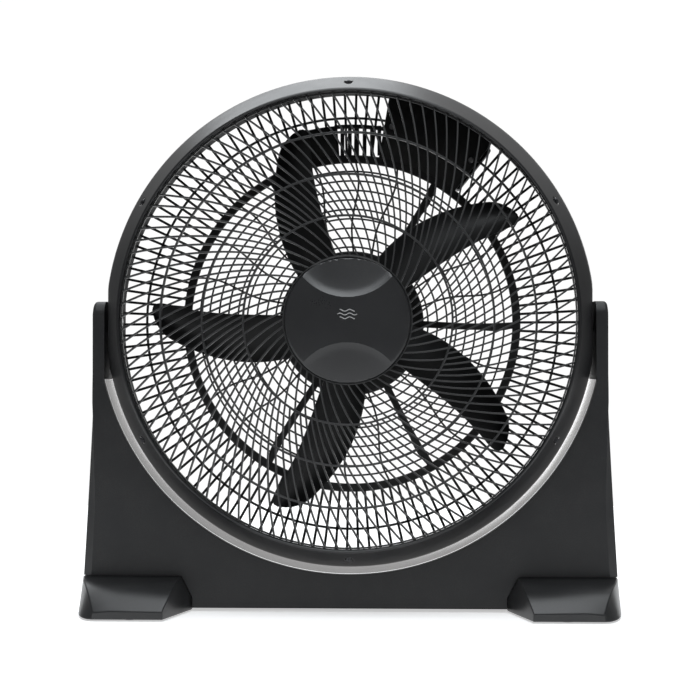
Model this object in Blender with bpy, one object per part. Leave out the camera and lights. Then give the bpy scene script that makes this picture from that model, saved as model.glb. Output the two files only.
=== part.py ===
"""Floor fan: a round turbo head that tilts in a U-shaped stand.

Metres, +Z up.  The fan blows towards -Y, +X is to its right as seen from the front,
and the origin is on the floor under the middle of the stand.
"""
import math

import bmesh
import bpy
from mathutils import Matrix, Vector

# ---------------------------------------------------------------- driving dimensions
HUB_Z = 0.3243                 # height of the blade and tilt axes above the floor
HEAD_R = 0.2758                # widest radius of the head
FLAT_X = 0.2720                # half width across the flats that run between the arms
SEAM_Y = -0.0100               # joint between front ring and rear shell
OPENING_R = 0.2495             # inner edge of the front ring
FRONT_Y = -0.0775              # foremost line of the front ring
GRILLE_Y = -0.0740             # front grille at its rim
GRILLE_DOME = 0.0180           # how far the grille bulges forward at its centre
REAR_Y = 0.0620                # front face of the rear grille
REAR_T = 0.0040                # thickness of the rear grille
RING_IN = 0.2715               # inner radius of the front ring at the seam
BARREL_R = 0.2712              # outer radius of the barrel behind its collar
BARREL_IN = 0.2690             # inner radius of the barrel
CUT_R = 0.2831                 # radius of the stand's cut-out
ARM_IN = 0.2747                # inner face of each arm
ARM_OUT = 0.2878               # outer face of each arm at the pivots
ARM_TOP = 0.3470               # top of the arms
ARM_ROLL = 0.0140              # radius of the rolled front edge of the arm tops
FLARE_TOP = 0.2600             # height where the stand starts to widen
FLARE = 0.0112                 # how much wider each side is at the feet
CHAMFER = 0.0100               # chamfer of the stand's outer corners at the floor
BASE_Y = 0.0320                # half depth of the stand
BASE_FLOOR = 0.0040            # gap between the stand's cross member and the floor
COVER_T = 0.0037               # thickness of the stand's rear cover
WALL = 0.0026                  # wall of the stand's mouldings
FOOT_TOP = 0.0390              # height of the feet under the stand
FOOT_Y = 0.1000                # half length of the feet
FOOT_CURVE = 3.0               # how late the feet fall away towards their ends
FOOT_SHARES = (0.0, 0.4, 0.6, 0.75, 0.88, 1.0)   # where their sections lie
PAD_H = 0.0020                 # height of the rubber pads
FOOT_SCREWS = (0.2050, 0.2700) # distance of the foot screws from the middle
SCREW_SEAT = 0.0330            # depth of the wells that the foot screws sit in
GAP = 0.0003                   # gap between touching pieces
BLADES = 5
TIP_R = 0.2235                 # blade tip radius
HUB_R = 0.0560                 # radius of the impeller's hub
BADGE_R = 0.0680               # radius of the centre badge
BADGE_SEAT_Y = -0.0862         # face of the grille that the badge sits on
SHAFT_R = 0.0040
BOSS_R = 0.0095                # bosses that the friction washers bear on
PIN_HOLE_R = 0.0056            # holes for the pivot pins
SPIRAL = 0.54                  # tangent of the spiral ribs' angle from the radius
RINGS_FRONT = (0.2044, 0.1584, 0.1132)   # concentric rings of the front grille
THICK_RING = (0.1890, 0.1985)            # heavy ring of the rear grille
RING_SCREW_R = 0.2625          # pitch radius of the six ring screws
BOX_FROM, BOX_TO = 50.0, 80.0  # control box, degrees from +X
BOX_BACK = 0.0860              # rear face of the control box
BOX_SCREWS = ((78.4, 0.2366), (53.8, 0.2375))    # degrees and radius of its two screws
KNOB_ANGLE, KNOB_PITCH = 66.0, 0.2330    # where the speed knob sits
ROUND = 72                     # segments of the large round pieces

HUB = Vector((0.0, 0.0, HUB_Z))
INK = (0.030, 0.030, 0.032)
CHARCOAL = (0.040, 0.041, 0.043)


# ---------------------------------------------------------------- helpers
def clear_scene():
    for old in list(bpy.data.objects):
        bpy.data.objects.remove(old, do_unlink=True)


def material(name, colour, roughness, metallic=0.0):
    """A Principled material, made once."""
    found = bpy.data.materials.get(name)
    if found:
        return found
    made = bpy.data.materials.new(name)
    made.use_nodes = True
    shader = made.node_tree.nodes["Principled BSDF"]
    shader.inputs["Base Color"].default_value = (*colour, 1.0)
    shader.inputs["Roughness"].default_value = roughness
    shader.inputs["Metallic"].default_value = metallic
    made.diffuse_color = (*colour, 1.0)
    return made


def finish(name, bm, look, origin=(0, 0, 0), parent=None, sharp=40.0):
    """Turn a bmesh given in world space into an object with the stated origin."""
    bmesh.ops.recalc_face_normals(bm, faces=bm.faces)
    mesh = bpy.data.meshes.new(name)
    bm.transform(Matrix.Translation(-Vector(origin)))
    bm.to_mesh(mesh)
    bm.free()
    mesh.shade_smooth()
    mesh.set_sharp_from_angle(angle=math.radians(sharp))
    mesh.materials.append(look)
    made = bpy.data.objects.new(name, mesh)
    bpy.context.scene.collection.objects.link(made)
    place(made, origin, parent)
    return made


def place(made, spot, parent):
    """Put an object at a world position, under a parent that is only ever moved."""
    made.location = Vector(spot)
    made.parent = parent
    while parent:
        made.location -= parent.location
        parent = parent.parent


def pivot(name, spot, parent=None):
    """An empty on a joint's axis."""
    made = bpy.data.objects.new(name, None)
    bpy.context.scene.collection.objects.link(made)
    made.empty_display_size = 0.03
    place(made, spot, parent)
    return made


def spun(profile, segments, centre=HUB, axis="Y", shape=None, bm=None):
    """A closed profile of (radius, height) points turned about an axis through centre.

    Points on the axis become poles.  shape may move each finished point."""
    bm = bm or bmesh.new()
    rows = []
    for step in range(segments):
        turn = 2 * math.pi * step / segments
        row = []
        for index, (radius, height) in enumerate(profile):
            if radius < 1e-6 and step:
                row.append(rows[0][index])
                continue
            a, b = radius * math.cos(turn), radius * math.sin(turn)
            local = {"Y": (a, height, b), "X": (height, a, b), "Z": (a, b, height)}[axis]
            spot = Vector(local)
            if shape:
                spot = shape(spot, radius)
            row.append(bm.verts.new(spot + Vector(centre)))
        rows.append(row)
    count = len(profile)
    for step in range(segments):
        here, there = rows[step], rows[(step + 1) % segments]
        for index in range(count):
            after = (index + 1) % count
            corners = []
            for vert in (here[index], here[after], there[after], there[index]):
                if vert not in corners:
                    corners.append(vert)
            if len(corners) > 2:
                bm.faces.new(corners)
    return bm


def rod(start, end, radius, segments=20, bm=None):
    """A plain cylinder between two points on one axis."""
    start, end = Vector(start), Vector(end)
    along = end - start
    bm = bm or bmesh.new()
    turned = along.to_track_quat("Z", "Y").to_matrix().to_4x4()
    bmesh.ops.create_cone(bm, cap_ends=True, segments=segments, radius1=radius, radius2=radius,
                          depth=along.length, matrix=Matrix.Translation((start + end) / 2) @ turned)
    return bm


def block(low, high, bevel):
    """An upright box between two corners, with its edges bevelled."""
    low, high = Vector(low), Vector(high)
    bm = bmesh.new()
    bmesh.ops.create_cube(bm, size=1.0, matrix=Matrix.Translation((low + high) / 2)
                          @ Matrix.Diagonal((*(high - low), 1.0)))
    bmesh.ops.bevel(bm, geom=bm.edges[:], offset=bevel, segments=1, affect="EDGES")
    return bm


def loft(sections):
    """Skin a list of equal-length loops of points and cap both ends."""
    bm = bmesh.new()
    loops = [[bm.verts.new(point) for point in section] for section in sections]
    for first, second in zip(loops, loops[1:]):
        bridge(bm, first, second)
    bm.faces.new(loops[0])
    bm.faces.new(list(reversed(loops[-1])))
    return bm


def bridge(bm, first, second):
    """Join two equal loops with a band of quads."""
    count = len(first)
    for index in range(count):
        after = (index + 1) % count
        bm.faces.new((first[index], first[after], second[after], second[index]))


def boolean(target, tool, operation="DIFFERENCE"):
    """Leave an EXACT Boolean on target with a hidden wire tool."""
    tool.hide_render = True
    tool.display_type = "WIRE"
    cut = target.modifiers.new(operation.title(), "BOOLEAN")
    cut.operation = operation
    cut.solver = "EXACT"
    cut.object = tool


def polar(radius, degrees, y=0.0):
    """A point in the head's frame, given by radius and angle as seen from the front."""
    turn = math.radians(degrees)
    return Vector((radius * math.cos(turn), y, HUB_Z + radius * math.sin(turn)))


def clamp_flats(spot, radius):
    """Press the head's outer walls into the two flats beside the arms."""
    limit = FLAT_X - 0.6 * (HEAD_R - radius)
    if radius > 0.262 and abs(spot.x) > limit:
        spot.x = math.copysign(limit, spot.x)
    return spot


def polar_lattice(levels, angles, solid, shape=None, twist=None):
    """A pierced disc as one closed body.

    levels: (radius, front y, back y) from the inside out; angles: degrees all round;
    solid(level, sector): whether that cell is material; twist(radius): extra degrees."""
    bm = bmesh.new()
    count = len(angles)
    spans = len(levels) - 1
    filled = [[solid(level, sector) for sector in range(count)] for level in range(spans)]
    front, back = {}, {}

    def vert(store, side, level, sector):
        key = (level, sector % count)
        if key not in store:
            radius = levels[level][0]
            turn = math.radians(angles[key[1]] + (twist(radius) if twist else 0.0))
            spot = Vector((radius * math.cos(turn), levels[level][side], radius * math.sin(turn)))
            if shape:
                spot = shape(spot, radius)
            store[key] = bm.verts.new(spot + HUB)
        return store[key]

    def wall(a, b):
        bm.faces.new((vert(front, 1, *a), vert(front, 1, *b), vert(back, 2, *b), vert(back, 2, *a)))

    for level in range(spans):
        for sector in range(count):
            if not filled[level][sector]:
                continue
            ring = [(level, sector), (level + 1, sector), (level + 1, sector + 1), (level, sector + 1)]
            bm.faces.new([vert(front, 1, *spot) for spot in ring])
            bm.faces.new([vert(back, 2, *spot) for spot in reversed(ring)])
            if not filled[level][sector - 1]:
                wall((level + 1, sector), (level, sector))
            if not filled[level][(sector + 1) % count]:
                wall((level, sector + 1), (level + 1, sector + 1))
            if level == 0 or not filled[level - 1][sector]:
                wall((level, sector), (level, sector + 1))
            if level == spans - 1 or not filled[level + 1][sector]:
                wall((level + 1, sector + 1), (level + 1, sector))
    return bm


def rib_angles(count, rib_degrees, parts=1, start=0.0):
    """Angles of rib edges with the openings between them split into equal parts."""
    pitch = 360.0 / count
    angles = []
    for index in range(count):
        centre = start + index * pitch
        angles.append(centre - rib_degrees / 2)
        for part in range(parts):
            angles.append(centre + rib_degrees / 2 + (pitch - rib_degrees) * part / parts)
    return angles


# ---------------------------------------------------------------- head: ring, grille, badge
def build_front_ring(head, look):
    """Bezel that tapers from the widest line to a rounded crest round the opening."""
    profile = [(HEAD_R, SEAM_Y - GAP), (HEAD_R, -0.0220), (0.2742, -0.0290), (0.2655, -0.0495),
               (0.2530, -0.0755), (0.2515, FRONT_Y), (OPENING_R, -0.0762), (OPENING_R, -0.0690),
               (0.2565, -0.0610), (0.2650, -0.0420), (RING_IN, -0.0240), (RING_IN, SEAM_Y - GAP)]
    ring = finish("front_ring", spun(profile, ROUND, shape=clamp_flats), look, HUB, head)
    holes = bmesh.new()
    for degrees in range(30, 360, 60):
        rod(polar(RING_SCREW_R, degrees, -0.0800), polar(RING_SCREW_R, degrees, -0.0400),
            0.0040, 12, holes)
    tool = finish("ring_screw_holes", holes, look, HUB, head)
    boolean(ring, tool)


def build_ring_screws(head, look):
    """Six pan screws sunk in the ring's recesses."""
    for number, degrees in enumerate(range(30, 360, 60), 1):
        centre = polar(RING_SCREW_R, degrees)
        profile = [(0.0, -0.0520), (0.0034, -0.0520), (0.0034, -0.0500), (0.0017, -0.0495),
                   (0.0017, -0.0380), (0.0, -0.0380)]
        finish(f"ring_screw_{number}", spun(profile, 12, centre), look, centre, head)


def grille_y(radius):
    """Front face of the domed front grille."""
    return GRILLE_Y - GRILLE_DOME * (1.0 - (radius / OPENING_R) ** 2)


def build_front_grille(head, look, ribs=20, rib_degrees=1.6):
    """Domed guard: spiral ribs, three rings, a rim and the seat of the badge."""
    ring_w = 0.0022
    lip = BADGE_R + GAP
    radii = [0.0560, lip, lip + GAP, BADGE_R + 0.0022]
    solid_spans = {0, 1, 2}
    for ring in reversed(RINGS_FRONT):
        radii += [ring - ring_w / 2, ring + ring_w / 2]
        solid_spans.add(len(radii) - 2)
    rim = OPENING_R - GAP
    radii += [rim - 0.0030, rim]
    solid_spans.add(len(radii) - 2)
    levels = [(r, BADGE_SEAT_Y if r <= lip else grille_y(r), grille_y(r) + 0.0075) for r in radii]
    angles = rib_angles(ribs, rib_degrees, parts=2)
    bm = polar_lattice(levels, angles, lambda level, sector: level in solid_spans or sector % 3 == 0,
                       twist=lambda r: math.degrees(SPIRAL * math.log(r / OPENING_R)))
    finish("front_grille", bm, look, HUB, head)


def build_badge(head, look):
    """Domed disc on the grille's centre with a shallow scoop above and below."""
    back = BADGE_SEAT_Y
    face = back - 0.0090
    profile = [(0.0, face - 0.0040), (0.0300, face - 0.0032), (0.0520, face - 0.0014),
               (0.0640, face + 0.0006), (BADGE_R, face + 0.0035), (BADGE_R, back - GAP),
               (0.0, back - GAP)]
    badge = finish("hub_badge", spun(profile, 48), look, HUB, head)
    scoops = bmesh.new()
    for side in (1, -1):
        centre = HUB + Vector((0.0, face - 0.0050, side * 0.0880))
        bmesh.ops.create_icosphere(scoops, subdivisions=3, radius=1.0,
                                   matrix=Matrix.Translation(centre)
                                   @ Matrix.Diagonal((0.0620, 0.0085, 0.0620, 1.0)))
    tool = finish("badge_scoops", scoops, look, HUB, head)
    boolean(badge, tool)


# ---------------------------------------------------------------- head: rear shell
def build_rear_shell(head, look, ribs=24, rib_degrees=1.1, start=5.0):
    """Barrel and rear guard in one moulding, with the motor plate and a solid corner."""
    flat = (REAR_Y, REAR_Y + REAR_T)
    rings = [(0.0500, 0.0850), (0.1400, 0.1430), THICK_RING, (0.2405, 0.2435)]
    levels, solid_spans = [], set()
    for low, high in rings:
        levels += [(low, *flat), (high, *flat)]
        solid_spans.add(len(levels) - 2)
    barrel = [(0.2665, *flat), (0.2678, REAR_Y - 0.0020, 0.0658), (BARREL_IN, SEAM_Y + GAP, 0.0650),
              (BARREL_R, SEAM_Y + GAP, 0.0600), (0.2718, SEAM_Y + GAP, -0.0010),
              (HEAD_R, SEAM_Y + GAP, -0.0040)]
    solid_spans |= set(range(len(levels), len(levels) + len(barrel) - 1))
    levels += barrel
    angles = rib_angles(ribs, rib_degrees, parts=2, start=start)
    pitch = 360.0 / ribs

    def solid(level, sector):
        rib, part = divmod(sector, 3)
        if level in solid_spans:
            return True
        radius = (levels[level][0] + levels[level + 1][0]) / 2
        degrees = start + rib * pitch + (pitch / 2 if part else 0.0)
        if part == 0:
            return radius > THICK_RING[0] or rib % 2 == 0
        in_box = BOX_FROM < degrees < BOX_TO and radius > THICK_RING[1]
        in_louvre = 95.0 < degrees < 110.0 and THICK_RING[1] < radius < 0.2420
        return in_box or in_louvre

    bm = polar_lattice(levels, angles, solid, shape=clamp_flats)
    shell = finish("rear_shell", bm, look, HUB, head)
    bosses, holes = bmesh.new(), bmesh.new()
    for side in (1, -1):
        rod((side * 0.2680, 0, HUB_Z), (side * FLAT_X, 0, HUB_Z), BOSS_R, 32, bosses)
        rod((side * 0.2600, 0, HUB_Z), (side * 0.2800, 0, HUB_Z), PIN_HOLE_R, 16, holes)
    boolean(shell, finish("pivot_bosses", bosses, look, HUB, head), "UNION")
    boolean(shell, finish("pivot_holes", holes, look, HUB, head))


# ---------------------------------------------------------------- head: control box
def sector_outline(inner, outer, start, stop, y, steps=5):
    """Loop round a ring sector at one depth."""
    outline = []
    for step in range(steps + 1):
        outline.append(polar(outer, start + (stop - start) * step / steps, y))
    for step in range(steps + 1):
        outline.append(polar(inner, stop + (start - stop) * step / steps, y))
    return outline


def build_control_box(head, box_look, dark_look, steel_look):
    """Housing behind the solid corner of the rear shell, with what is inside it."""
    front = REAR_Y + REAR_T + GAP
    wall = 0.0022
    pad = 0.6
    outer = [sector_outline(0.2010, 0.2630, BOX_FROM + 1, BOX_TO - 1, y) for y in (front, BOX_BACK)]
    inner = [sector_outline(0.2010 + wall, 0.2630 - wall, BOX_FROM + 1 + pad, BOX_TO - 1 - pad, y)
             for y in (BOX_BACK - wall, front)]
    bm = bmesh.new()
    loops = [[bm.verts.new(point) for point in section] for section in outer + inner]
    for first, second in ((0, 1), (2, 3), (3, 0)):
        bridge(bm, loops[first], loops[second])
    bm.faces.new(loops[1])
    bm.faces.new(loops[2])
    box = finish("control_box", bm, box_look, HUB, head)
    knob_at = polar(KNOB_PITCH, KNOB_ANGLE)
    gland_at = polar(0.2170, 56.0)
    holes = bmesh.new()
    rod(knob_at + Vector((0, 0.0800, 0)), knob_at + Vector((0, 0.0900, 0)), 0.0036, 16, holes)
    rod(gland_at + Vector((0, 0.0800, 0)), gland_at + Vector((0, 0.0900, 0)), 0.0062, 16, holes)
    boolean(box, finish("control_box_holes", holes, box_look, HUB, head))

    switch = block(knob_at + Vector((-0.0120, front + 0.0005, -0.0110)),
                   knob_at + Vector((0.0120, BOX_BACK - wall - GAP, 0.0110)), 0.0008)
    finish("rotary_switch", switch, dark_look, knob_at, head)
    capacitor = block(polar(0.2330, 74.5, front + 0.0008) - Vector((0.0090, 0, 0.0110)),
                      polar(0.2330, 74.5, BOX_BACK - 0.0040) + Vector((0.0090, 0, 0.0110)), 0.0008)
    finish("capacitor", capacitor, box_look, polar(0.2330, 74.5), head)
    gland = [(0.0, 0.0820), (0.0058, 0.0820), (0.0058, BOX_BACK + GAP), (0.0085, BOX_BACK + GAP),
             (0.0085, 0.0905), (0.0060, 0.0935), (0.0036, 0.0935), (0.0036, 0.0860), (0.0, 0.0860)]
    finish("cord_gland", spun(gland, 16, gland_at), dark_look, gland_at, head)
    for number, (degrees, radius) in enumerate(BOX_SCREWS, 1):
        centre = polar(radius, degrees)
        profile = [(0.0, REAR_Y - 0.0026), (0.0036, REAR_Y - 0.0016), (0.0036, REAR_Y - GAP),
                   (0.0, REAR_Y - GAP)]
        finish(f"box_screw_{number}", spun(profile, 12, centre), steel_look, centre, head)


def build_speed_knob(head, look, dark_look):
    """Knob on the rear of the control box, turning on the switch's stem."""
    centre = polar(KNOB_PITCH, KNOB_ANGLE)
    knob = pivot("speed_knob_axis", centre, head)
    back = FOOT_Y
    profile = [(0.0, BOX_BACK + 0.0005), (0.0155, BOX_BACK + 0.0005), (0.0160, BOX_BACK + 0.0030),
               (0.0148, back - 0.0045), (0.0120, back - 0.0040), (0.0, back - 0.0040)]
    cap = finish("speed_knob", spun(profile, 24, centre), look, centre, knob)
    grip = block(centre + Vector((-0.0022, back - 0.0060, -0.0130)),
                 centre + Vector((0.0022, back - 0.0002, 0.0130)), 0.0006)
    boolean(cap, finish("knob_grip", grip, look, centre, knob), "UNION")
    stem = rod(centre + Vector((0, BOX_BACK - 0.0021, 0)), centre + Vector((0, BOX_BACK + 0.0002, 0)),
               0.0032, 16)
    finish("switch_stem", stem, dark_look, centre, knob)


# ---------------------------------------------------------------- head: motor and impeller
def tube(inner, outer, start, stop):
    """Profile of a plain ring."""
    return [(inner, start), (outer, start), (outer, stop), (inner, stop)]


def build_motor(head, alloy, steel, copper, bronze):
    """Induction motor bolted to the plate in the middle of the rear shell."""
    can = 0.0460
    front_bell = [(0.0082, 0.0200), (0.0400, 0.0200), (can, 0.0250), (can, 0.0357), (0.0430, 0.0357),
                  (0.0430, 0.0270), (0.0120, 0.0230), (0.0120, 0.0300), (0.0082, 0.0300)]
    finish("motor_front_bell", spun(front_bell, 24), alloy, HUB, head)
    finish("stator", spun(tube(0.0262, can, 0.0360, 0.0576), 24), steel, HUB, head)
    finish("winding_front", spun(tube(0.0290, 0.0410, 0.0290, 0.0357), 24), copper, HUB, head)
    finish("winding_rear", spun(tube(0.0290, 0.0410, 0.0579, 0.0650), 24), copper, HUB, head)
    rear_bell = [(0.0082, 0.0730), (0.0120, 0.0730), (0.0120, 0.0790), (0.0430, 0.0760),
                 (0.0430, 0.0579), (0.0640, 0.0579), (0.0640, REAR_Y - GAP), (0.0470, REAR_Y - GAP),
                 (0.0470, 0.0780), (0.0400, 0.0830), (0.0082, 0.0830)]
    finish("motor_rear_bell", spun(rear_bell, 24), alloy, HUB, head)
    for name, start in (("bearing_front", 0.0215), ("bearing_rear", 0.0738)):
        finish(name, spun(tube(SHAFT_R + GAP, 0.0079, start, start + 0.0070), 16), bronze, HUB, head)
    for number, degrees in enumerate((45, 135, 225, 315), 1):
        centre = polar(0.0560, degrees)
        profile = [(0.0, 0.0549), (0.0030, 0.0549), (0.0036, 0.0560), (0.0036, 0.0576), (0.0, 0.0576)]
        finish(f"motor_screw_{number}", spun(profile, 10, centre), steel, centre, head)


def build_rotor(rotor, steel, alloy, dark_look):
    """Shaft, rotor core, impeller and its nut, all turning together."""
    finish("shaft", rod(HUB + Vector((0, -0.0420, 0)), HUB + Vector((0, 0.0815, 0)), SHAFT_R, 16),
           steel, HUB, rotor)
    finish("rotor_core", spun(tube(SHAFT_R + GAP, 0.0256, 0.0345, 0.0592), 24), alloy, HUB, rotor)
    build_impeller(rotor, dark_look)
    nut = [(0.0, -0.0480), (0.0090, -0.0470), (0.0130, -0.0420), (0.0130, -0.0290),
           (SHAFT_R + GAP, -0.0290), (SHAFT_R + GAP, -0.0425), (0.0, -0.0425)]
    finish("blade_nut", spun(nut, 16), dark_look, HUB, rotor)


def blade_edges(radius):
    """Angles, in degrees, of a blade's leading and trailing edges from the blade's own line."""
    along = (radius - HUB_R) / (TIP_R - HUB_R)
    return -3.3 + 2.6 * math.sin(math.pi * along), 37.9 - 33.2 * along


def blade_point(radius, across, side, turn):
    """A point of a blade: across runs from the straight edge to the swept one."""
    first, second = blade_edges(radius)
    degrees = turn + first + (second - first) * across
    along = (radius - HUB_R) / (TIP_R - HUB_R)
    depth = 0.0300 - 0.0120 * along
    camber = 0.0060 * math.sin(math.pi * across)
    y = -0.0050 - depth / 2 + depth * across - camber + side * 0.0011
    return polar(radius, degrees, y)


def build_impeller(rotor, look):
    """Five broad twisted blades round a cup-shaped hub."""
    hub = [(SHAFT_R + GAP, -0.0285), (0.0400, -0.0285), (0.0520, -0.0265), (HUB_R, -0.0220),
           (HUB_R, 0.0150), (HUB_R - 0.0028, 0.0150), (HUB_R - 0.0028, -0.0200), (0.0380, -0.0255),
           (0.0110, -0.0255), (0.0110, 0.0050), (SHAFT_R + GAP, 0.0050)]
    impeller = finish("impeller", spun(hub, 40), look, HUB, rotor)
    stations = [HUB_R - 0.0018, 0.0800, 0.1100, 0.1450, 0.1800, 0.2080, 0.2180, TIP_R]
    for number in range(BLADES):
        turn = 33.0 + 72.0 * number
        bm = bmesh.new()
        grid = {}
        wide = 4
        for row, radius in enumerate(stations):
            for column in range(wide + 1):
                for side in (-1, 1):
                    across = column / wide
                    if row == len(stations) - 1:
                        across = 0.35 + (across - 0.35) * 0.55
                    grid[row, column, side] = bm.verts.new(blade_point(radius, across, side, turn))
        for row in range(len(stations) - 1):
            for column in range(wide):
                for side in (-1, 1):
                    bm.faces.new((grid[row, column, side], grid[row + 1, column, side],
                                  grid[row + 1, column + 1, side], grid[row, column + 1, side]))
            for column in (0, wide):
                bm.faces.new((grid[row, column, -1], grid[row + 1, column, -1],
                              grid[row + 1, column, 1], grid[row, column, 1]))
        for row in (0, len(stations) - 1):
            for column in range(wide):
                bm.faces.new((grid[row, column, -1], grid[row, column + 1, -1],
                              grid[row, column + 1, 1], grid[row, column, 1]))
        blade = finish(f"blade_form_{number + 1}", bm, look, HUB, rotor)
        boolean(impeller, blade, "UNION")


# ---------------------------------------------------------------- pivots
def build_pivots(head, steel, rubber):
    """Shoulder pins through the arms into the head, each with a friction washer and a nut."""
    for side, name in ((-1, "left"), (1, "right")):
        pin = [(0.0, side * 0.2600), (0.0052, side * 0.2600), (0.0052, side * 0.2776),
               (0.0085, side * 0.2776), (0.0085, side * 0.2830), (0.0, side * 0.2830)]
        finish(f"pivot_pin_{name}", spun(pin, 16, axis="X"), steel, HUB, head)
        washer = [(0.0056, side * 0.2723), (0.0120, side * 0.2723), (0.0120, side * 0.2744),
                  (0.0056, side * 0.2744)]
        finish(f"friction_washer_{name}", spun(washer, 24, axis="X"), rubber, HUB, head)
        nut = [(0.0064, side * 0.2620), (0.0095, side * 0.2620), (0.0095, side * 0.2675),
               (0.0064, side * 0.2675)]
        finish(f"pivot_nut_{name}", spun(nut, 6, axis="X"), steel, HUB, head)


# ---------------------------------------------------------------- stand
def stand_half_width(z):
    """Outer half width of the stand, which flares towards the floor."""
    low = max(0.0, FLARE_TOP - z) / (FLARE_TOP - FOOT_TOP)
    return ARM_OUT + FLARE * low ** 1.2


def stand_outline(inset, top, chamfer, arc=20):
    """Points (x, z) round the U, starting at the right arm's inner top corner."""
    inner = ARM_IN + inset
    radius = CUT_R + inset
    first = math.acos(inner / radius)
    right = [(inner, top - inset)]
    for step in range(arc + 1):
        turn = -first - (math.pi / 2 - first) * step / arc
        right.append((radius * math.cos(turn), HUB_Z + radius * math.sin(turn)))
    left = [(-x, z) for x, z in reversed(right[:-1])]
    outer = []
    corner = 0.0040
    for z in (top - inset, top - inset - corner, 0.2600, 0.2000, 0.1400, 0.0900, FOOT_TOP + GAP + inset):
        width = stand_half_width(z) - inset
        if z > top - inset - corner / 2:
            width -= corner * 0.6
        bite = chamfer * min(1.0, max(0.0, (0.2400 - z) / 0.1250))
        outer.append((width - bite, z))
    shelf = FOOT_TOP + GAP + inset
    floor = BASE_FLOOR + inset
    foot = [(0.1876 - inset, shelf), (0.1754 - inset, 0.0158), (0.1754 - inset, floor)]
    side = outer + foot
    return right + left + [(-x, z) for x, z in side] + [(x, z) for x, z in reversed(side)]


def build_stand_front(look):
    """Deep front moulding of the stand: face, walls and arms, open at the back."""
    back = BASE_Y - COVER_T - GAP
    outer = [(-BASE_Y, ARM_TOP - ARM_ROLL, CHAMFER), (-BASE_Y + 0.0016, ARM_TOP - 0.0088, CHAMFER * 0.7),
             (-BASE_Y + 0.0055, ARM_TOP - 0.0034, CHAMFER * 0.35), (-BASE_Y + ARM_ROLL, ARM_TOP, 0.0),
             (back, ARM_TOP, 0.0)]
    inner = [(back, ARM_TOP, 0.0), (-BASE_Y + 0.0160, ARM_TOP, 0.0),
             (-BASE_Y + WALL, ARM_TOP - ARM_ROLL, CHAMFER)]
    bm = bmesh.new()
    loops = []
    for inset, stack in ((0.0, outer), (WALL, inner)):
        for y, top, bite in stack:
            loops.append([bm.verts.new((x, y, z)) for x, z in stand_outline(inset, top, bite)])
    for first, second in zip(loops, loops[1:]):
        bridge(bm, first, second)
    bm.faces.new(loops[0])
    bm.faces.new(list(reversed(loops[-1])))
    stand = finish("stand_front", bm, look)
    holes = bmesh.new()
    for side in (1, -1):
        rod((side * 0.2700, 0, HUB_Z), (side * (ARM_IN + WALL + 0.0010), 0, HUB_Z), PIN_HOLE_R, 16, holes)
    boolean(stand, finish("arm_holes", holes, look))


def build_stand_cover(look):
    """Flat rear cover that closes the stand."""
    sections = []
    for y, drop in ((BASE_Y - COVER_T, 0.0), (BASE_Y, 0.0015)):
        sections.append([Vector((x, y, z)) for x, z in stand_outline(0.0, ARM_TOP - drop, 0.0)])
    finish("stand_cover", loft(sections), look)


def build_trim(look):
    """Bright strip lining the cut-out."""
    inner, outer = CUT_R - 0.0023, CUT_R - 0.0005
    reach = math.degrees(math.acos((ARM_IN - GAP) / outer)) + 0.1
    steps = 40
    sections = []
    for step in range(steps + 1):
        degrees = -reach - (180.0 - 2 * reach) * step / steps
        sections.append([polar(inner, degrees, -BASE_Y + 0.0006), polar(outer, degrees, -BASE_Y + 0.0006),
                         polar(outer, degrees, BASE_Y - 0.0006), polar(inner, degrees, BASE_Y - 0.0006)])
    finish("trim_strip", loft(sections), look)


def foot_section(side, y):
    """Cross-section of a foot: level under the stand, falling away in front and behind."""
    away = max(0.0, (abs(y) - BASE_Y) / (FOOT_Y - BASE_Y))

    def mix(near, far, share=away ** FOOT_CURVE):
        return near + (far - near) * share

    bulge = 0.2740 + 0.0260 * math.sqrt(1.0 - away ** 2)
    points = [(mix(0.2980, 0.2740), mix(FOOT_TOP, 0.0092)), (mix(0.2640, 0.2560), mix(FOOT_TOP, 0.0114)),
              (mix(0.1882, 0.1990), mix(FOOT_TOP, 0.0106)),
              (mix(0.1760, 0.1986, away), mix(0.0155, 0.0060, away)),
              (mix(0.1760, 0.1984, away), PAD_H), (bulge, PAD_H)]
    return [Vector((side * x, y, z)) for x, z in points]


def build_feet(look, rubber, steel):
    """Two long feet under the corners, with rubber pads and fixing screws."""
    for side, name in ((-1, "left"), (1, "right")):
        spots = [BASE_Y + (FOOT_Y - BASE_Y) * share for share in FOOT_SHARES]
        body = loft([foot_section(side, y) for y in [-spot for spot in reversed(spots)] + spots])
        foot = finish(f"foot_{name}", body, look)
        wells = bmesh.new()
        for x in FOOT_SCREWS:
            rod((side * x, 0, 0), (side * x, 0, SCREW_SEAT), 0.0060, 16, wells)
        boolean(foot, finish(f"foot_wells_{name}", wells, look))
        for end, where in ((-1, "front"), (1, "rear")):
            centre = Vector((side * 0.2360, end * 0.0780, 0.0))
            profile = [(0.0, 0.0), (0.0110, 0.0), (0.0120, 0.0010), (0.0120, PAD_H - GAP), (0.0, PAD_H - GAP)]
            finish(f"pad_{name}_{where}", spun(profile, 16, centre, "Z"), rubber, centre)
        for number, x in enumerate(FOOT_SCREWS, 1):
            centre = Vector((side * x, 0.0, 0.0))
            top = SCREW_SEAT - GAP
            profile = [(0.0, top - 0.0029), (0.0032, top - 0.0029), (0.0040, top - 0.0020),
                       (0.0040, top), (0.0, top)]
            finish(f"foot_screw_{name}_{number}", spun(profile, 10, centre, "Z"), steel, centre)


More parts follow.
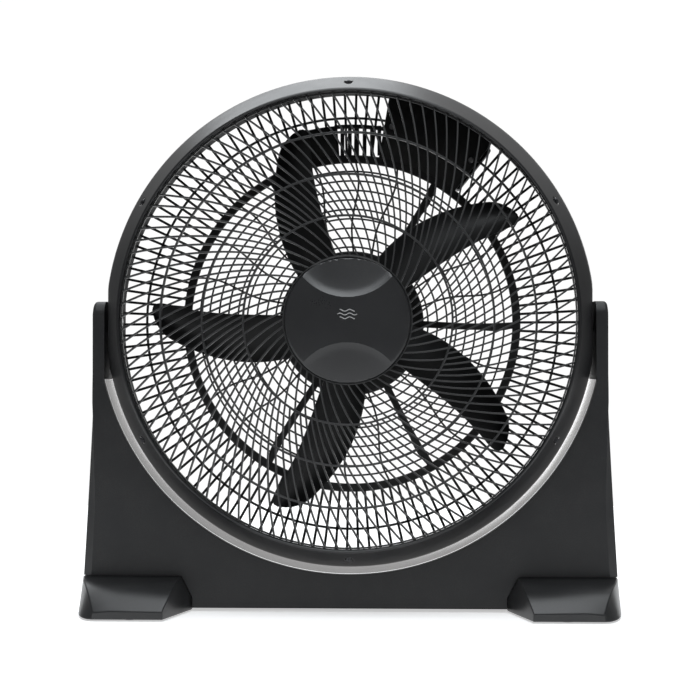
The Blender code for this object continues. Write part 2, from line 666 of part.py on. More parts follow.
def build_cover_screws(steel):
    """Four screws that hold the rear cover."""
    places = ((-0.2800, 0.3000), (0.2800, 0.3000), (-0.1500, 0.0300), (0.1500, 0.0300))
    for number, (x, z) in enumerate(places, 1):
        centre = Vector((x, 0.0, z))
        profile = [(0.0, BASE_Y + GAP), (0.0032, BASE_Y + GAP), (0.0032, BASE_Y + 0.0014),
                   (0.0, BASE_Y + 0.0022)]
        finish(f"cover_screw_{number}", spun(profile, 10, centre), steel, centre)


def build():
    clear_scene()
    shell = material("shell_plastic", CHARCOAL, 0.42)
    guard = material("guard_plastic", INK, 0.48)
    blade = material("blade_plastic", (0.018, 0.018, 0.020), 0.25)
    steel = material("steel", (0.55, 0.55, 0.56), 0.35, 1.0)
    alloy = material("alloy", (0.62, 0.62, 0.60), 0.45, 1.0)
    copper = material("copper", (0.55, 0.25, 0.12), 0.40, 1.0)
    bronze = material("bronze", (0.45, 0.32, 0.16), 0.45, 1.0)
    rubber = material("rubber", (0.020, 0.020, 0.020), 0.85)
    silver = material("trim_silver", (0.66, 0.67, 0.68), 0.30, 0.8)

    head = pivot("head_tilt_axis", HUB)
    rotor = pivot("rotor_axis", HUB, head)
    build_front_ring(head, shell)
    build_ring_screws(head, steel)
    build_front_grille(head, guard)
    build_badge(head, shell)
    build_rear_shell(head, guard)
    build_control_box(head, guard, rubber, steel)
    build_speed_knob(head, shell, steel)
    build_motor(head, alloy, steel, copper, bronze)
    build_rotor(rotor, steel, alloy, blade)
    build_pivots(head, steel, rubber)
    build_stand_front(shell)
    build_stand_cover(shell)
    build_trim(silver)
    build_feet(shell, rubber, steel)
    build_cover_screws(steel)


build()
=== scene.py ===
import math

import bmesh
import bpy
from mathutils import Matrix, Vector


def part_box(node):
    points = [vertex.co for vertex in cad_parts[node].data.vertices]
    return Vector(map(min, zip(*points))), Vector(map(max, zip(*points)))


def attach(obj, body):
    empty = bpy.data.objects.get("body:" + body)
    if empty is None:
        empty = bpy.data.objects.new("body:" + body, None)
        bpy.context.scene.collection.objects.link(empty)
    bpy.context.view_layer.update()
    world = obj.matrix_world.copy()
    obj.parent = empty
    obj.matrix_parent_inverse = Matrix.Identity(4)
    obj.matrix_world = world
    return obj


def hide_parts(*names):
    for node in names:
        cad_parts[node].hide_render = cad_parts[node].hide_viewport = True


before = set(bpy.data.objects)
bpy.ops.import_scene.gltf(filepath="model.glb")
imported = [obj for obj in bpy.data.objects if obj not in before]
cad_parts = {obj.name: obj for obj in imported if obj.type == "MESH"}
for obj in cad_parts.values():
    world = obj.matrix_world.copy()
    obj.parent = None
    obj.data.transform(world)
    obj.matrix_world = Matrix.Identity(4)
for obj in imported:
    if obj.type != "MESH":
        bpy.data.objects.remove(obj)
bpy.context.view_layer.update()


# ------------------------------------------------------------------ stand front moulding
# The real piece is one deep U-shaped moulding that carries the whole fan between its two arms.
# Charcoal ABS with a fine spark-eroded grain, its face flat, its arm tops rolled over towards the
# front and its outer corners chamfered more and more towards the floor.
def node(tree, kind, inputs=None, **settings):
    """Add a node, set its properties, and fill or link its inputs by name or number."""
    made = tree.nodes.new(kind)
    for key, value in settings.items():
        setattr(made, key, value)
    for key, value in (inputs or {}).items():
        if isinstance(value, bpy.types.NodeSocket):
            tree.links.new(value, made.inputs[key])
        else:
            made.inputs[key].default_value = value
    return made


def calc(tree, operation, first, second=0.0, third=0.0, clamp=False):
    """The result of one Math node."""
    return node(tree, "ShaderNodeMath", {0: first, 1: second, 2: third}, operation=operation,
                use_clamp=clamp).outputs[0]


def tint(tree, factor, under, over):
    """The colour of one Mix node."""
    return node(tree, "ShaderNodeMix", {0: factor, 6: under, 7: over}, data_type="RGBA").outputs[2]


def effect(name, inputs, outputs):
    """A shader node group with float inputs and outputs, and its two end nodes."""
    group = bpy.data.node_groups.new(name, "ShaderNodeTree")
    for label, value in inputs.items():
        group.interface.new_socket(label, in_out="INPUT", socket_type="NodeSocketFloat").default_value = value
    for label in outputs:
        group.interface.new_socket(label, in_out="OUTPUT", socket_type="NodeSocketFloat")
    return group, group.nodes.new("NodeGroupInput").outputs, group.nodes.new("NodeGroupOutput")


def moulded_grain():
    """Fine tool grain and slow mottling, as on a spark-eroded moulding."""
    group, given, result = effect("moulded_grain", {"Grain Size": 0.0006, "Mottle Size": 0.05},
                                  ("Height", "Mottle"))
    place = node(group, "ShaderNodeTexCoord").outputs["Object"]
    fine = node(group, "ShaderNodeTexNoise", {"Vector": place, "Detail": 3.0, "Roughness": 0.6,
                                              "Scale": calc(group, "DIVIDE", 1.0, given["Grain Size"])})
    slow = node(group, "ShaderNodeTexNoise", {"Vector": place, "Detail": 2.0, "Roughness": 0.5,
                                              "Scale": calc(group, "DIVIDE", 1.0, given["Mottle Size"])})
    group.links.new(fine.outputs[0], result.inputs["Height"])
    group.links.new(slow.outputs[0], result.inputs["Mottle"])
    return group


def edge_wear():
    """1 along edges that handling has rubbed, broken up by noise, and 0 elsewhere."""
    group, given, result = effect("edge_wear", {"Width": 0.001, "Strength": 1.0}, ("Rubbed",))
    rounded = node(group, "ShaderNodeBevel", {"Radius": given["Width"]}, samples=4).outputs[0]
    true = node(group, "ShaderNodeNewGeometry").outputs["Normal"]
    facing = node(group, "ShaderNodeVectorMath", {0: rounded, 1: true},
                  operation="DOT_PRODUCT").outputs["Value"]
    turned_away = calc(group, "MULTIPLY", calc(group, "SUBTRACT", 1.0, facing), 6.0, clamp=True)
    place = node(group, "ShaderNodeTexCoord").outputs["Object"]
    breaks = node(group, "ShaderNodeTexNoise", {"Vector": place, "Scale": 140.0, "Detail": 3.0}).outputs[0]
    patchy = calc(group, "MULTIPLY_ADD", breaks, 1.6, -0.3, clamp=True)
    rubbed = calc(group, "MULTIPLY", turned_away, patchy)
    worn = calc(group, "MULTIPLY", rubbed, given["Strength"], clamp=True)
    group.links.new(worn, result.inputs["Rubbed"])
    return group


def settled_dust():
    """Thin uneven film of house dust."""
    group, given, result = effect("settled_dust", {"Amount": 0.2}, ("Dust",))
    place = node(group, "ShaderNodeTexCoord").outputs["Object"]
    drifts = node(group, "ShaderNodeTexNoise", {"Vector": place, "Scale": 26.0, "Detail": 5.0,
                                                "Roughness": 0.65}).outputs[0]
    specks = node(group, "ShaderNodeTexNoise", {"Vector": place, "Scale": 900.0, "Detail": 1.0}).outputs[0]
    film = calc(group, "MULTIPLY_ADD", drifts, 2.2, -0.75, clamp=True)
    fleck = calc(group, "MULTIPLY_ADD", specks, 2.0, -0.6, clamp=True)
    group.links.new(calc(group, "MULTIPLY", calc(group, "MULTIPLY", film, fleck), given["Amount"]),
                    result.inputs["Dust"])
    return group


grain_effect, wear_effect, dust_effect = moulded_grain(), edge_wear(), settled_dust()


def plastic(name, colour, roughness, grain=0.0006, relief=0.12, wear=0.25, dust=0.10, gloss=0.5):
    """Moulded plastic or rubber: grain, mottling, rubbed edges and a little dust."""
    made = bpy.data.materials.new(name)
    made.use_nodes = True
    tree = made.node_tree
    shader = tree.nodes["Principled BSDF"]
    shader.inputs["Specular IOR Level"].default_value = gloss
    skin = node(tree, "ShaderNodeGroup", node_tree=grain_effect)
    skin.inputs["Grain Size"].default_value = grain
    film = node(tree, "ShaderNodeGroup", node_tree=dust_effect)
    film.inputs["Amount"].default_value = dust
    mottled = tint(tree, skin.outputs["Mottle"], (*[part * 0.86 for part in colour], 1.0),
                   (*[part * 1.14 for part in colour], 1.0))
    if wear:
        rub = node(tree, "ShaderNodeGroup", node_tree=wear_effect)
        rub.inputs["Strength"].default_value = wear
        mottled = tint(tree, rub.outputs["Rubbed"], mottled, (*[part * 2.6 + 0.03 for part in colour], 1.0))
    dusty = tint(tree, film.outputs["Dust"], mottled, (0.20, 0.19, 0.175, 1.0))
    tree.links.new(dusty, shader.inputs["Base Color"])
    sheen = calc(tree, "MULTIPLY_ADD", skin.outputs["Mottle"], 0.12, roughness - 0.06)
    tree.links.new(calc(tree, "ADD", sheen, film.outputs["Dust"], clamp=True), shader.inputs["Roughness"])
    bump = node(tree, "ShaderNodeBump", {"Strength": relief, "Distance": grain * 0.5,
                                         "Height": skin.outputs["Height"]})
    tree.links.new(bump.outputs[0], shader.inputs["Normal"])
    made.diffuse_color = (*colour, 1.0)
    return made


def settle(piece):
    """Make a piece's modifiers, or a curve's shape, a plain mesh."""
    bpy.context.view_layer.update()
    view = bpy.context.evaluated_depsgraph_get()
    plain = bpy.data.meshes.new_from_object(piece.evaluated_get(view), preserve_all_data_layers=True,
                                            depsgraph=view)
    if piece.type == "MESH":
        piece.modifiers.clear()
        piece.data = plain
        return piece
    made = bpy.data.objects.new(piece.name + "_form", plain)
    bpy.context.scene.collection.objects.link(made)
    bpy.data.objects.remove(piece)
    return made


def moulding(name, form, finish, sharp=38.0, rounding=0.0):
    """Turn a bmesh into a smooth-shaded piece at the origin, its edges rounded if asked."""
    bmesh.ops.recalc_face_normals(form, faces=form.faces)
    mesh = bpy.data.meshes.new(name)
    form.to_mesh(mesh)
    form.free()
    mesh.materials.append(finish)
    mesh.shade_smooth()
    mesh.set_sharp_from_angle(angle=math.radians(sharp))
    piece = bpy.data.objects.new(name, mesh)
    bpy.context.scene.collection.objects.link(piece)
    if rounding:
        edges = piece.modifiers.new("rounding", "BEVEL")
        edges.width = rounding
        edges.segments = 3
        edges.limit_method = "ANGLE"
        edges.angle_limit = math.radians(28.0)
    shade = piece.modifiers.new("shading", "WEIGHTED_NORMAL")
    shade.keep_sharp = True
    return settle(piece)


def fitted(piece, body, slot, *nodes):
    """Give a finished piece its body, in place of the nodes it stands for; the slot is not used."""
    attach(piece, body)
    if nodes:
        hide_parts(*nodes)
    return piece


def stretch(form, first, second):
    """Join two equal loops of vertices with a band of faces."""
    for index in range(len(first)):
        after = (index + 1) % len(first)
        form.faces.new((first[index], first[after], second[after], second[index]))


def skinned(loops):
    """A closed skin over equal loops of points, capped at both ends."""
    form = bmesh.new()
    rows = [[form.verts.new(point) for point in loop] for loop in loops]
    for first, second in zip(rows, rows[1:]):
        stretch(form, first, second)
    form.faces.new(rows[0])
    form.faces.new(list(reversed(rows[-1])))
    return form


def punched(piece, tool):
    """Cut a tool out of a piece and drop the tool."""
    cut = piece.modifiers.new("cut", "BOOLEAN")
    cut.object = tool
    cut.solver = "EXACT"
    shade = piece.modifiers.new("shading", "WEIGHTED_NORMAL")
    shade.keep_sharp = True
    settle(piece)
    bpy.data.objects.remove(tool)
    return piece


millimetre = 0.001
shaft_low, shaft_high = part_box("shaft")
hub = Vector((0.0, 0.0, (shaft_low.z + shaft_high.z) / 2))
stand_low, stand_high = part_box("stand_front")
cut_radius = 283.1 * millimetre          # cut-out that the head swings in
arm_inside = 274.7 * millimetre          # inner face of an arm
arm_outside = 287.8 * millimetre         # outer face of an arm beside the pivots
arm_roll = 14.0 * millimetre             # radius of the rolled arm tops
flare_top = 260.0 * millimetre           # height where the sides start to widen
flare = 11.2 * millimetre                # how much wider each side is at the feet
chamfer_size = 10.0 * millimetre
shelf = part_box("foot_left")[1].z + 0.3 * millimetre
foot_inside = (187.6 * millimetre, 175.4 * millimetre)
tuck = 15.8 * millimetre

charcoal = plastic("charcoal_shell", (0.0112, 0.0115, 0.0126), 0.44, gloss=0.38)


def stand_side(z):
    """Half width of the stand at a height."""
    low = max(0.0, flare_top - z) / (flare_top - shelf)
    return arm_outside + flare * low ** 1.2


def stand_loop(y, inset, top, chamfer, steps=72):
    """Points round the U at one depth, from the right arm's inner top corner."""
    inner, radius = arm_inside + inset, cut_radius + inset
    first = math.acos(inner / radius)
    right = [(inner, top - inset)]
    for step in range(steps + 1):
        turn = -first - (math.pi / 2 - first) * step / steps
        right.append((radius * math.cos(turn), hub.z + radius * math.sin(turn)))
    outer = []
    corner = 4.0 * millimetre
    for part in range(5):
        turn = math.radians(22.5 * part)
        z = top - inset - corner * (1.0 - math.cos(turn))
        outer.append((stand_side(z) - inset - corner * (1.0 - math.sin(turn)), z))
    for part in range(1, 19):
        z = top - inset - corner + (shelf + inset - top + inset + corner) * part / 18
        bite = chamfer * min(1.0, max(0.0, (0.240 - z) / 0.125))
        outer.append((stand_side(z) - inset - bite, z))
    foot = [(foot_inside[0] - inset, shelf + inset), (foot_inside[1] - inset, tuck),
            (foot_inside[1] - inset, stand_low.z + inset)]
    side = outer + foot
    flat = right + [(-x, z) for x, z in reversed(right[:-1])]
    flat += [(-x, z) for x, z in side] + [(x, z) for x, z in reversed(side)]
    return [Vector((x, y, z)) for x, z in flat]


def build_stand_front():
    front, back, top = stand_low.y, stand_high.y, stand_high.z
    loops = [stand_loop(back, 0.0, top, 0.0)]
    for step in range(12):
        turn = math.radians(90.0 * step / 12)
        y = front + arm_roll * (1.0 - math.sin(turn))
        drop = arm_roll * (1.0 - math.cos(turn))
        bite = chamfer_size * max(0.0, 1.0 - (y - front) / (8.5 * millimetre))
        loops.append(stand_loop(y, 0.0, top - drop, bite))
    run = 0.9 * millimetre
    for turn in (30.0, 60.0, 90.0):
        y = front + 0.12 * millimetre * (1.0 - turn / 90.0)
        loops.append(stand_loop(y, run * (1.0 - math.cos(math.radians(turn))), top - arm_roll, chamfer_size))
    return moulding("stand_shell", skinned(loops), charcoal, sharp=32.0)


fitted(build_stand_front(), "stand", "shell", "stand_front")


# ------------------------------------------------------------------ stand rear cover
# The real piece is a flat plate that closes the stand from behind, moulded in the same
# charcoal ABS, with a shallow step round its edge, and held by four screws.
cover_low, cover_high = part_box("stand_cover")


def build_stand_cover():
    near, far = cover_low.y, cover_high.y
    rows = ((near, 0.0, 0.0), (far - 1.2 * millimetre, 0.0, 0.0),
            (far - 0.4 * millimetre, 0.25 * millimetre, 0.4), (far, 1.0 * millimetre, 1.0))
    loops = [stand_loop(y, inset, cover_high.z - 0.5 * millimetre * ease, 0.0) for y, inset, ease in rows]
    return moulding("stand_back_cover", skinned(loops), charcoal, sharp=32.0)


fitted(build_stand_cover(), "stand", "shell", "stand_cover")


# ------------------------------------------------------------------ trim strip
# The real piece is a thin bright strip that lines the stand's cut-out, brushed aluminium-coloured,
# pressed into the gap from above and ending where the arms begin.
def brushed_lines():
    """Fine streaks that run along a strip: they change fast across it and slowly along it."""
    group, given, result = effect("brushed_lines", {"Line Width": 0.0004, "Across X": 0.02, "Across Y": 1.0,
                                                    "Across Z": 0.02}, ("Streak", "Cloud"))
    place = node(group, "ShaderNodeTexCoord").outputs["Object"]
    across = node(group, "ShaderNodeCombineXYZ", {0: given["Across X"], 1: given["Across Y"],
                                                  2: given["Across Z"]}).outputs[0]
    drawn = node(group, "ShaderNodeVectorMath", {0: place, 1: across}, operation="MULTIPLY").outputs[0]
    lines = node(group, "ShaderNodeTexNoise", {"Vector": drawn, "Detail": 4.0, "Roughness": 0.7,
                                               "Scale": calc(group, "DIVIDE", 1.0, given["Line Width"])})
    cloud = node(group, "ShaderNodeTexNoise", {"Vector": place, "Scale": 30.0, "Detail": 2.0})
    group.links.new(lines.outputs[0], result.inputs["Streak"])
    group.links.new(cloud.outputs[0], result.inputs["Cloud"])
    return group


brushed_effect = brushed_lines()


def metal(name, colour, roughness, across=(0.02, 1.0, 0.02), line=0.0004, relief=0.08, dust=0.04):
    """Metal, or metal-coloured trim, with drawn lines and a little dust."""
    made = bpy.data.materials.new(name)
    made.use_nodes = True
    tree = made.node_tree
    shader = tree.nodes["Principled BSDF"]
    shader.inputs["Metallic"].default_value = 1.0
    drawn = node(tree, "ShaderNodeGroup", node_tree=brushed_effect)
    for label, value in (("Line Width", line), ("Across X", across[0]), ("Across Y", across[1]),
                         ("Across Z", across[2])):
        drawn.inputs[label].default_value = value
    film = node(tree, "ShaderNodeGroup", node_tree=dust_effect)
    film.inputs["Amount"].default_value = dust
    streaked = tint(tree, drawn.outputs["Streak"], (*[part * 0.82 for part in colour], 1.0),
                    (*[min(1.0, part * 1.12) for part in colour], 1.0))
    dusty = tint(tree, film.outputs["Dust"], streaked, (0.30, 0.29, 0.27, 1.0))
    tree.links.new(dusty, shader.inputs["Base Color"])
    tree.links.new(calc(tree, "MULTIPLY_ADD", drawn.outputs["Cloud"], 0.16, roughness - 0.08),
                   shader.inputs["Roughness"])
    bump = node(tree, "ShaderNodeBump", {"Strength": relief, "Distance": line * 0.5,
                                         "Height": drawn.outputs["Streak"]})
    tree.links.new(bump.outputs[0], shader.inputs["Normal"])
    made.diffuse_color = (*colour, 1.0)
    return made


bright_trim = metal("bright_trim", (0.66, 0.67, 0.68), 0.24, line=0.0030, relief=0.0, dust=0.0)
# A small even glow stands in for the light that the narrow gap beside the head would lose.
trim_shader = bright_trim.node_tree.nodes["Principled BSDF"]
trim_shader.inputs["Emission Color"].default_value = (1.0, 0.98, 0.97, 1.0)
trim_shader.inputs["Emission Strength"].default_value = 0.24


def build_trim():
    low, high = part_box("trim_strip")
    thin, wide = cut_radius - 2.3 * millimetre, cut_radius - 1.1 * millimetre
    reach = math.acos((arm_inside - 0.3 * millimetre) / wide)
    steps, loops = 160, []
    for step in range(steps + 1):
        turn = -reach - (math.pi - 2 * reach) * step / steps
        corners = ((thin, low.y), (wide, low.y), (wide, high.y), (thin, high.y))
        loops.append([hub + Vector((r * math.cos(turn), y, r * math.sin(turn))) for r, y in corners])
    return moulding("cutout_trim", skinned(loops), bright_trim, sharp=30.0, rounding=0.4 * millimetre)


fitted(build_trim(), "stand", "trim", "trim_strip")


# ------------------------------------------------------------------ feet
# The real pieces are two long wedge-shaped feet that run from front to back under the stand's
# corners. They are charcoal ABS mouldings, screwed up into the stand from below.
foot_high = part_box("foot_right")[1]
foot_charcoal = plastic("foot_charcoal", (0.0150, 0.0155, 0.0166), 0.30, grain=0.0004, relief=0.06)
screw_well = 6.0 * millimetre
well_depth = 33.0 * millimetre
pad_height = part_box("pad_left_front")[1].z + 0.3 * millimetre
foot_curve = 3.0                          # how late the feet fall away towards their ends


def foot_loop(side, y):
    """Section of a foot: level under the stand, curving down to a lip in front and behind."""
    away = max(0.0, (abs(y) - stand_high.y - 4.0 * millimetre)
               / (foot_high.y - stand_high.y - 4.0 * millimetre))

    def run(near, far, share=away ** foot_curve):
        return (near + (far - near) * share) * millimetre

    bulge = (274.0 + 25.9 * math.sqrt(1.0 - away ** 2)) * millimetre
    points = [(run(298.0, 274.0, away ** 1.4), run(39.0, 9.6)), (run(264.0, 256.0), run(39.0, 11.4)),
              (run(188.2, 199.0), run(39.0, 10.6)), (run(176.0, 198.6, away), run(15.5, 6.0, away)),
              (run(176.0, 198.4, away), pad_height), (bulge, pad_height)]
    return [Vector((side * x, y, z)) for x, z in points]


def rod(start, end, radius, segments, form=None):
    """A cylinder between two points."""
    form = form or bmesh.new()
    start, end = Vector(start), Vector(end)
    along = end - start
    turned_to = along.to_track_quat("Z", "Y").to_matrix().to_4x4()
    bmesh.ops.create_cone(form, cap_ends=True, segments=segments, radius1=radius, radius2=radius,
                          depth=along.length, matrix=Matrix.Translation((start + end) / 2) @ turned_to)
    return form


def build_foot(side, name):
    reach, level = foot_high.y, stand_high.y + 3.7 * millimetre
    shares = (1.0, 0.96, 0.91, 0.86, 0.8, 0.73, 0.65, 0.56, 0.45, 0.3, 0.0)
    front = [-level - (reach - level) * share for share in shares]
    steps = front + [-y for y in reversed(front)]
    foot = moulding(f"foot_block_{name}", skinned([foot_loop(side, y) for y in steps]), foot_charcoal,
                    sharp=25.0, rounding=1.0 * millimetre)
    wells = bmesh.new()
    for number in (1, 2):
        low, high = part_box(f"foot_screw_{name}_{number}")
        middle = (low + high) / 2
        rod((middle.x, middle.y, -pad_height), (middle.x, middle.y, well_depth), screw_well, 32, wells)
    return punched(foot, moulding("wells", wells, foot_charcoal))


fitted(build_foot(-1, "left"), "stand", "shell", "foot_left")
fitted(build_foot(1, "right"), "stand", "shell", "foot_right")


# ------------------------------------------------------------------ rubber pads
# The real pieces are four round pads of black rubber glued under the ends of the feet,
# with rings moulded into their soles so that they grip the floor.
black_rubber = plastic("black_rubber", (0.016, 0.016, 0.016), 0.82, grain=0.0003, relief=0.25, wear=0.0,
                       dust=0.25)


def turned(profile, segments, centre, axis="Y", shape=None, form=None):
    """A closed profile of (radius, height) turned about an axis; shape may move each point."""
    form = form or bmesh.new()
    rows = []
    for step in range(segments):
        turn = 2 * math.pi * step / segments
        row = []
        for index, (radius, height) in enumerate(profile):
            if radius < 1e-7 and step:
                row.append(rows[0][index])
                continue
            a, b = radius * math.cos(turn), radius * math.sin(turn)
            spot = Vector({"Y": (a, height, b), "X": (height, a, b), "Z": (a, b, height)}[axis])
            row.append(form.verts.new((shape(spot, radius) if shape else spot) + centre))
        rows.append(row)
    for step in range(segments):
        here, there = rows[step], rows[(step + 1) % segments]
        for index in range(len(profile)):
            after = (index + 1) % len(profile)
            corners = []
            for vert in (here[index], here[after], there[after], there[index]):
                if vert not in corners:
                    corners.append(vert)
            if len(corners) > 2:
                form.faces.new(corners)
    return form


def build_pads():
    form = bmesh.new()
    for side in ("left", "right"):
        for end in ("front", "rear"):
            low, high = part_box(f"pad_{side}_{end}")
            centre = Vector(((low.x + high.x) / 2, (low.y + high.y) / 2, 0.0))
            wide, tall = (high.x - low.x) / 2, high.z
            sole = [(0.0, 0.0)]
            for ring in range(1, 5):
                sole += [(wide * (ring - 0.45) / 5, 0.0), (wide * (ring - 0.30) / 5, 0.0006),
                         (wide * (ring + 0.10) / 5, 0.0006), (wide * (ring + 0.25) / 5, 0.0)]
            sole += [(wide - 0.0010, 0.0), (wide - 0.0003, 0.0003), (wide, 0.0010), (wide, tall), (0.0, tall)]
            turned(sole, 40, centre, "Z", form=form)
    return moulding("rubber_pads", form, black_rubber, sharp=35.0)


fitted(build_pads(), "stand", "rubber", "pad_left_front", "pad_left_rear", "pad_right_front",
       "pad_right_rear")


# ------------------------------------------------------------------ screws of the stand
# The real pieces are zinc-plated pan-head screws with a cross recess: four hold the rear cover
# and two, sunk in wells, hold each foot.
zinc_screw = metal("zinc_screw", (0.50, 0.50, 0.51), 0.38, across=(1.0, 1.0, 1.0), line=0.0009)


def recipe(name, inputs):
    """A Geometry Nodes tree with named inputs, and its input sockets."""
    tree = bpy.data.node_groups.new(name, "GeometryNodeTree")
    tree.interface.new_socket("Geometry", in_out="INPUT", socket_type="NodeSocketGeometry")
    for label, (kind, value) in inputs.items():
        socket = tree.interface.new_socket(label, in_out="INPUT", socket_type="NodeSocket" + kind)
        if value is not None:
            socket.default_value = value
    tree.interface.new_socket("Geometry", in_out="OUTPUT", socket_type="NodeSocketGeometry")
    return tree, tree.nodes.new("NodeGroupInput").outputs


def close_recipe(tree, shape, finish):
    """End a tree in Realize Instances and Set Material."""
    real = node(tree, "GeometryNodeRealizeInstances", {0: shape}).outputs[0]
    painted = node(tree, "GeometryNodeSetMaterial", {"Geometry": real, "Material": finish}).outputs[0]
    node(tree, "NodeGroupOutput", {0: painted})
    return tree


def grown(name, tree, values, spots=(), sharp=38.0):
    """Grow a tree once, from points if given, and keep the result as a plain mesh."""
    mesh = bpy.data.meshes.new(name)
    mesh.from_pydata([tuple(spot) for spot in spots], [], [])
    piece = bpy.data.objects.new(name, mesh)
    bpy.context.scene.collection.objects.link(piece)
    step = piece.modifiers.new(name, "NODES")
    step.node_group = tree
    for item in tree.interface.items_tree:
        if item.in_out == "INPUT" and item.name in values:
            step[item.identifier] = values[item.name]
    settle(piece)
    form = bmesh.new()
    form.from_mesh(piece.data)
    bmesh.ops.recalc_face_normals(form, faces=form.faces)
    form.to_mesh(piece.data)
    form.free()
    piece.data.shade_smooth()
    piece.data.set_sharp_from_angle(angle=math.radians(sharp))
    return piece


def screw_recipe():
    """Pan head with a cross recess, set on every point and turned to its face."""
    tree, given = recipe("pan_screws", {
        "Head Radius": ("Float", 0.004), "Head Height": ("Float", 0.002), "Recess Width": ("Float", 0.0009),
        "Facing": ("Vector", (0.0, 0.0, 0.0)), "Finish": ("Material", None)})
    wide, tall = given["Head Radius"], given["Head Height"]
    head = node(tree, "GeometryNodeMeshCone", {"Vertices": 24, "Side Segments": 1, "Radius Bottom": wide,
                                               "Radius Top": calc(tree, "MULTIPLY", wide, 0.72),
                                               "Depth": calc(tree, "MULTIPLY", tall, 0.55)})
    raised = node(tree, "GeometryNodeTransform", {0: head.outputs[0], "Translation": node(
        tree, "ShaderNodeCombineXYZ", {2: calc(tree, "MULTIPLY", tall, 0.45)}).outputs[0]})
    collar = node(tree, "GeometryNodeMeshCylinder", {"Vertices": 24, "Radius": wide,
                                                     "Depth": calc(tree, "MULTIPLY", tall, 0.9)})
    body = node(tree, "GeometryNodeMeshBoolean", {"Mesh 2": raised.outputs[0]}, operation="UNION")
    tree.links.new(collar.outputs[0], body.inputs["Mesh 2"])
    slots = []
    for length, width in ((1.15, 0.0), (0.0, 1.15)):
        size = node(tree, "ShaderNodeCombineXYZ", {
            0: calc(tree, "MULTIPLY", wide, length) if length else given["Recess Width"],
            1: calc(tree, "MULTIPLY", wide, width) if width else given["Recess Width"], 2: tall}).outputs[0]
        bar = node(tree, "GeometryNodeMeshCube", {"Size": size}).outputs[0]
        lift = node(tree, "ShaderNodeCombineXYZ", {2: calc(tree, "MULTIPLY", tall, 0.85)}).outputs[0]
        slots.append(node(tree, "GeometryNodeTransform", {0: bar, "Translation": lift}).outputs[0])
    cut = node(tree, "GeometryNodeMeshBoolean", {"Mesh 1": body.outputs[0]}, operation="DIFFERENCE")
    for bar in slots:
        tree.links.new(bar, cut.inputs["Mesh 2"])
    placed = node(tree, "GeometryNodeInstanceOnPoints", {
        "Points": given["Geometry"], "Instance": cut.outputs[0], "Rotation": given["Facing"]}).outputs[0]
    return close_recipe(tree, placed, given["Finish"])


pan_screws = screw_recipe()
to_front, to_back, to_floor = (math.pi / 2, 0.0, 0.0), (-math.pi / 2, 0.0, 0.0), (math.pi, 0.0, 0.0)


def screws(name, facing, heads, height, radius, finish=zinc_screw):
    """One piece for like screws, each at the middle of the face its node shows."""
    spots = []
    for head in heads:
        low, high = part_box(head)
        middle = (low + high) / 2
        if facing == to_front:
            middle.y = low.y + height * 0.72
        elif facing == to_back:
            middle.y = high.y - height * 0.72
        else:
            middle.z = low.z + height * 0.72
        spots.append(middle)
    values = {"Head Radius": radius, "Head Height": height, "Recess Width": radius * 0.24,
              "Facing": facing, "Finish": finish}
    return grown(name, pan_screws, values, spots, sharp=30.0)


cover_screws = [f"cover_screw_{number}" for number in (1, 2, 3, 4)]
fitted(screws("rear_cover_screws", to_back, cover_screws, 1.9 * millimetre, 3.2 * millimetre),
       "stand", "steel", *cover_screws)
foot_screws = [f"foot_screw_{side}_{number}" for side in ("left", "right") for number in (1, 2)]
fitted(screws("foot_fixing_screws", to_floor, foot_screws, 2.9 * millimetre, 4.0 * millimetre),
       "stand", "steel", *foot_screws)


# ------------------------------------------------------------------ pivots
# The real pieces are two shouldered steel pins through the arms into the head, each with a nut
# inside and a fibre-rubber friction washer that holds the head at any tilt. They keep their CAD shape.
def painted(node_name, finish):
    """Give a CAD node that keeps its shape a better finish."""
    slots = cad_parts[node_name].data.materials
    slots.clear()
    slots.append(finish)


turned_steel = metal("turned_steel", (0.46, 0.46, 0.47), 0.32, across=(1.0, 1.0, 1.0), line=0.0005)
for side in ("left", "right"):
    painted(f"pivot_pin_{side}", turned_steel)
    painted(f"pivot_nut_{side}", turned_steel)
    painted(f"friction_washer_{side}", black_rubber)


# ------------------------------------------------------------------ rear shell
# The real piece is the black moulding behind the head: a barrel with two flats beside the arms and,
# in one with it, a guard of radial ribs, thin inner rings, six nearly straight spokes down to the
# motor plate, a solid corner for the controls and a louvred carrying bar on top.
guard_black = plastic("guard_black", (0.0135, 0.0138, 0.0146), 0.42, grain=0.0005, wear=0.0, dust=0.10)
shell_low, shell_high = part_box("rear_shell")
seam_y = shell_low.y
guard_front, guard_back = 62.0 * millimetre, 66.0 * millimetre
head_radius = shell_high.z - hub.z
flat_x = shell_high.x
barrel_black = plastic("barrel_black", (0.0100, 0.0102, 0.0108), 0.62, grain=0.0008, wear=0.0, gloss=0.2)
barrel_outside, barrel_inside = 271.2 * millimetre, 269.8 * millimetre
heavy_ring = (189.0 * millimetre, 198.5 * millimetre)
thin_rings = [part * millimetre for part in (90.0, 101.0, 112.3, 123.4, 134.5, 145.7, 156.9, 168.1, 179.3)]
middle_ring = 242.2 * millimetre
outer_ring = 269.0 * millimetre
outer_ribs = 126
corner_from, corner_to = math.radians(52.0), math.radians(80.5)
first_slat, slat_pitch = -10.85 * millimetre, 8.72 * millimetre     # across, from the fan's middle
slat_height = 215.5 * millimetre                                    # middle of the slats above the hub
slat_size = (4.6 * millimetre, 4.0 * millimetre, 35.0 * millimetre)


def pressed(spot, radius):
    """Press the head's outer walls into the flats beside the arms."""
    limit = flat_x - 0.6 * (head_radius - radius)
    if radius > 262.0 * millimetre and abs(spot.x) > limit:
        spot.x = math.copysign(limit, spot.x)
    return spot


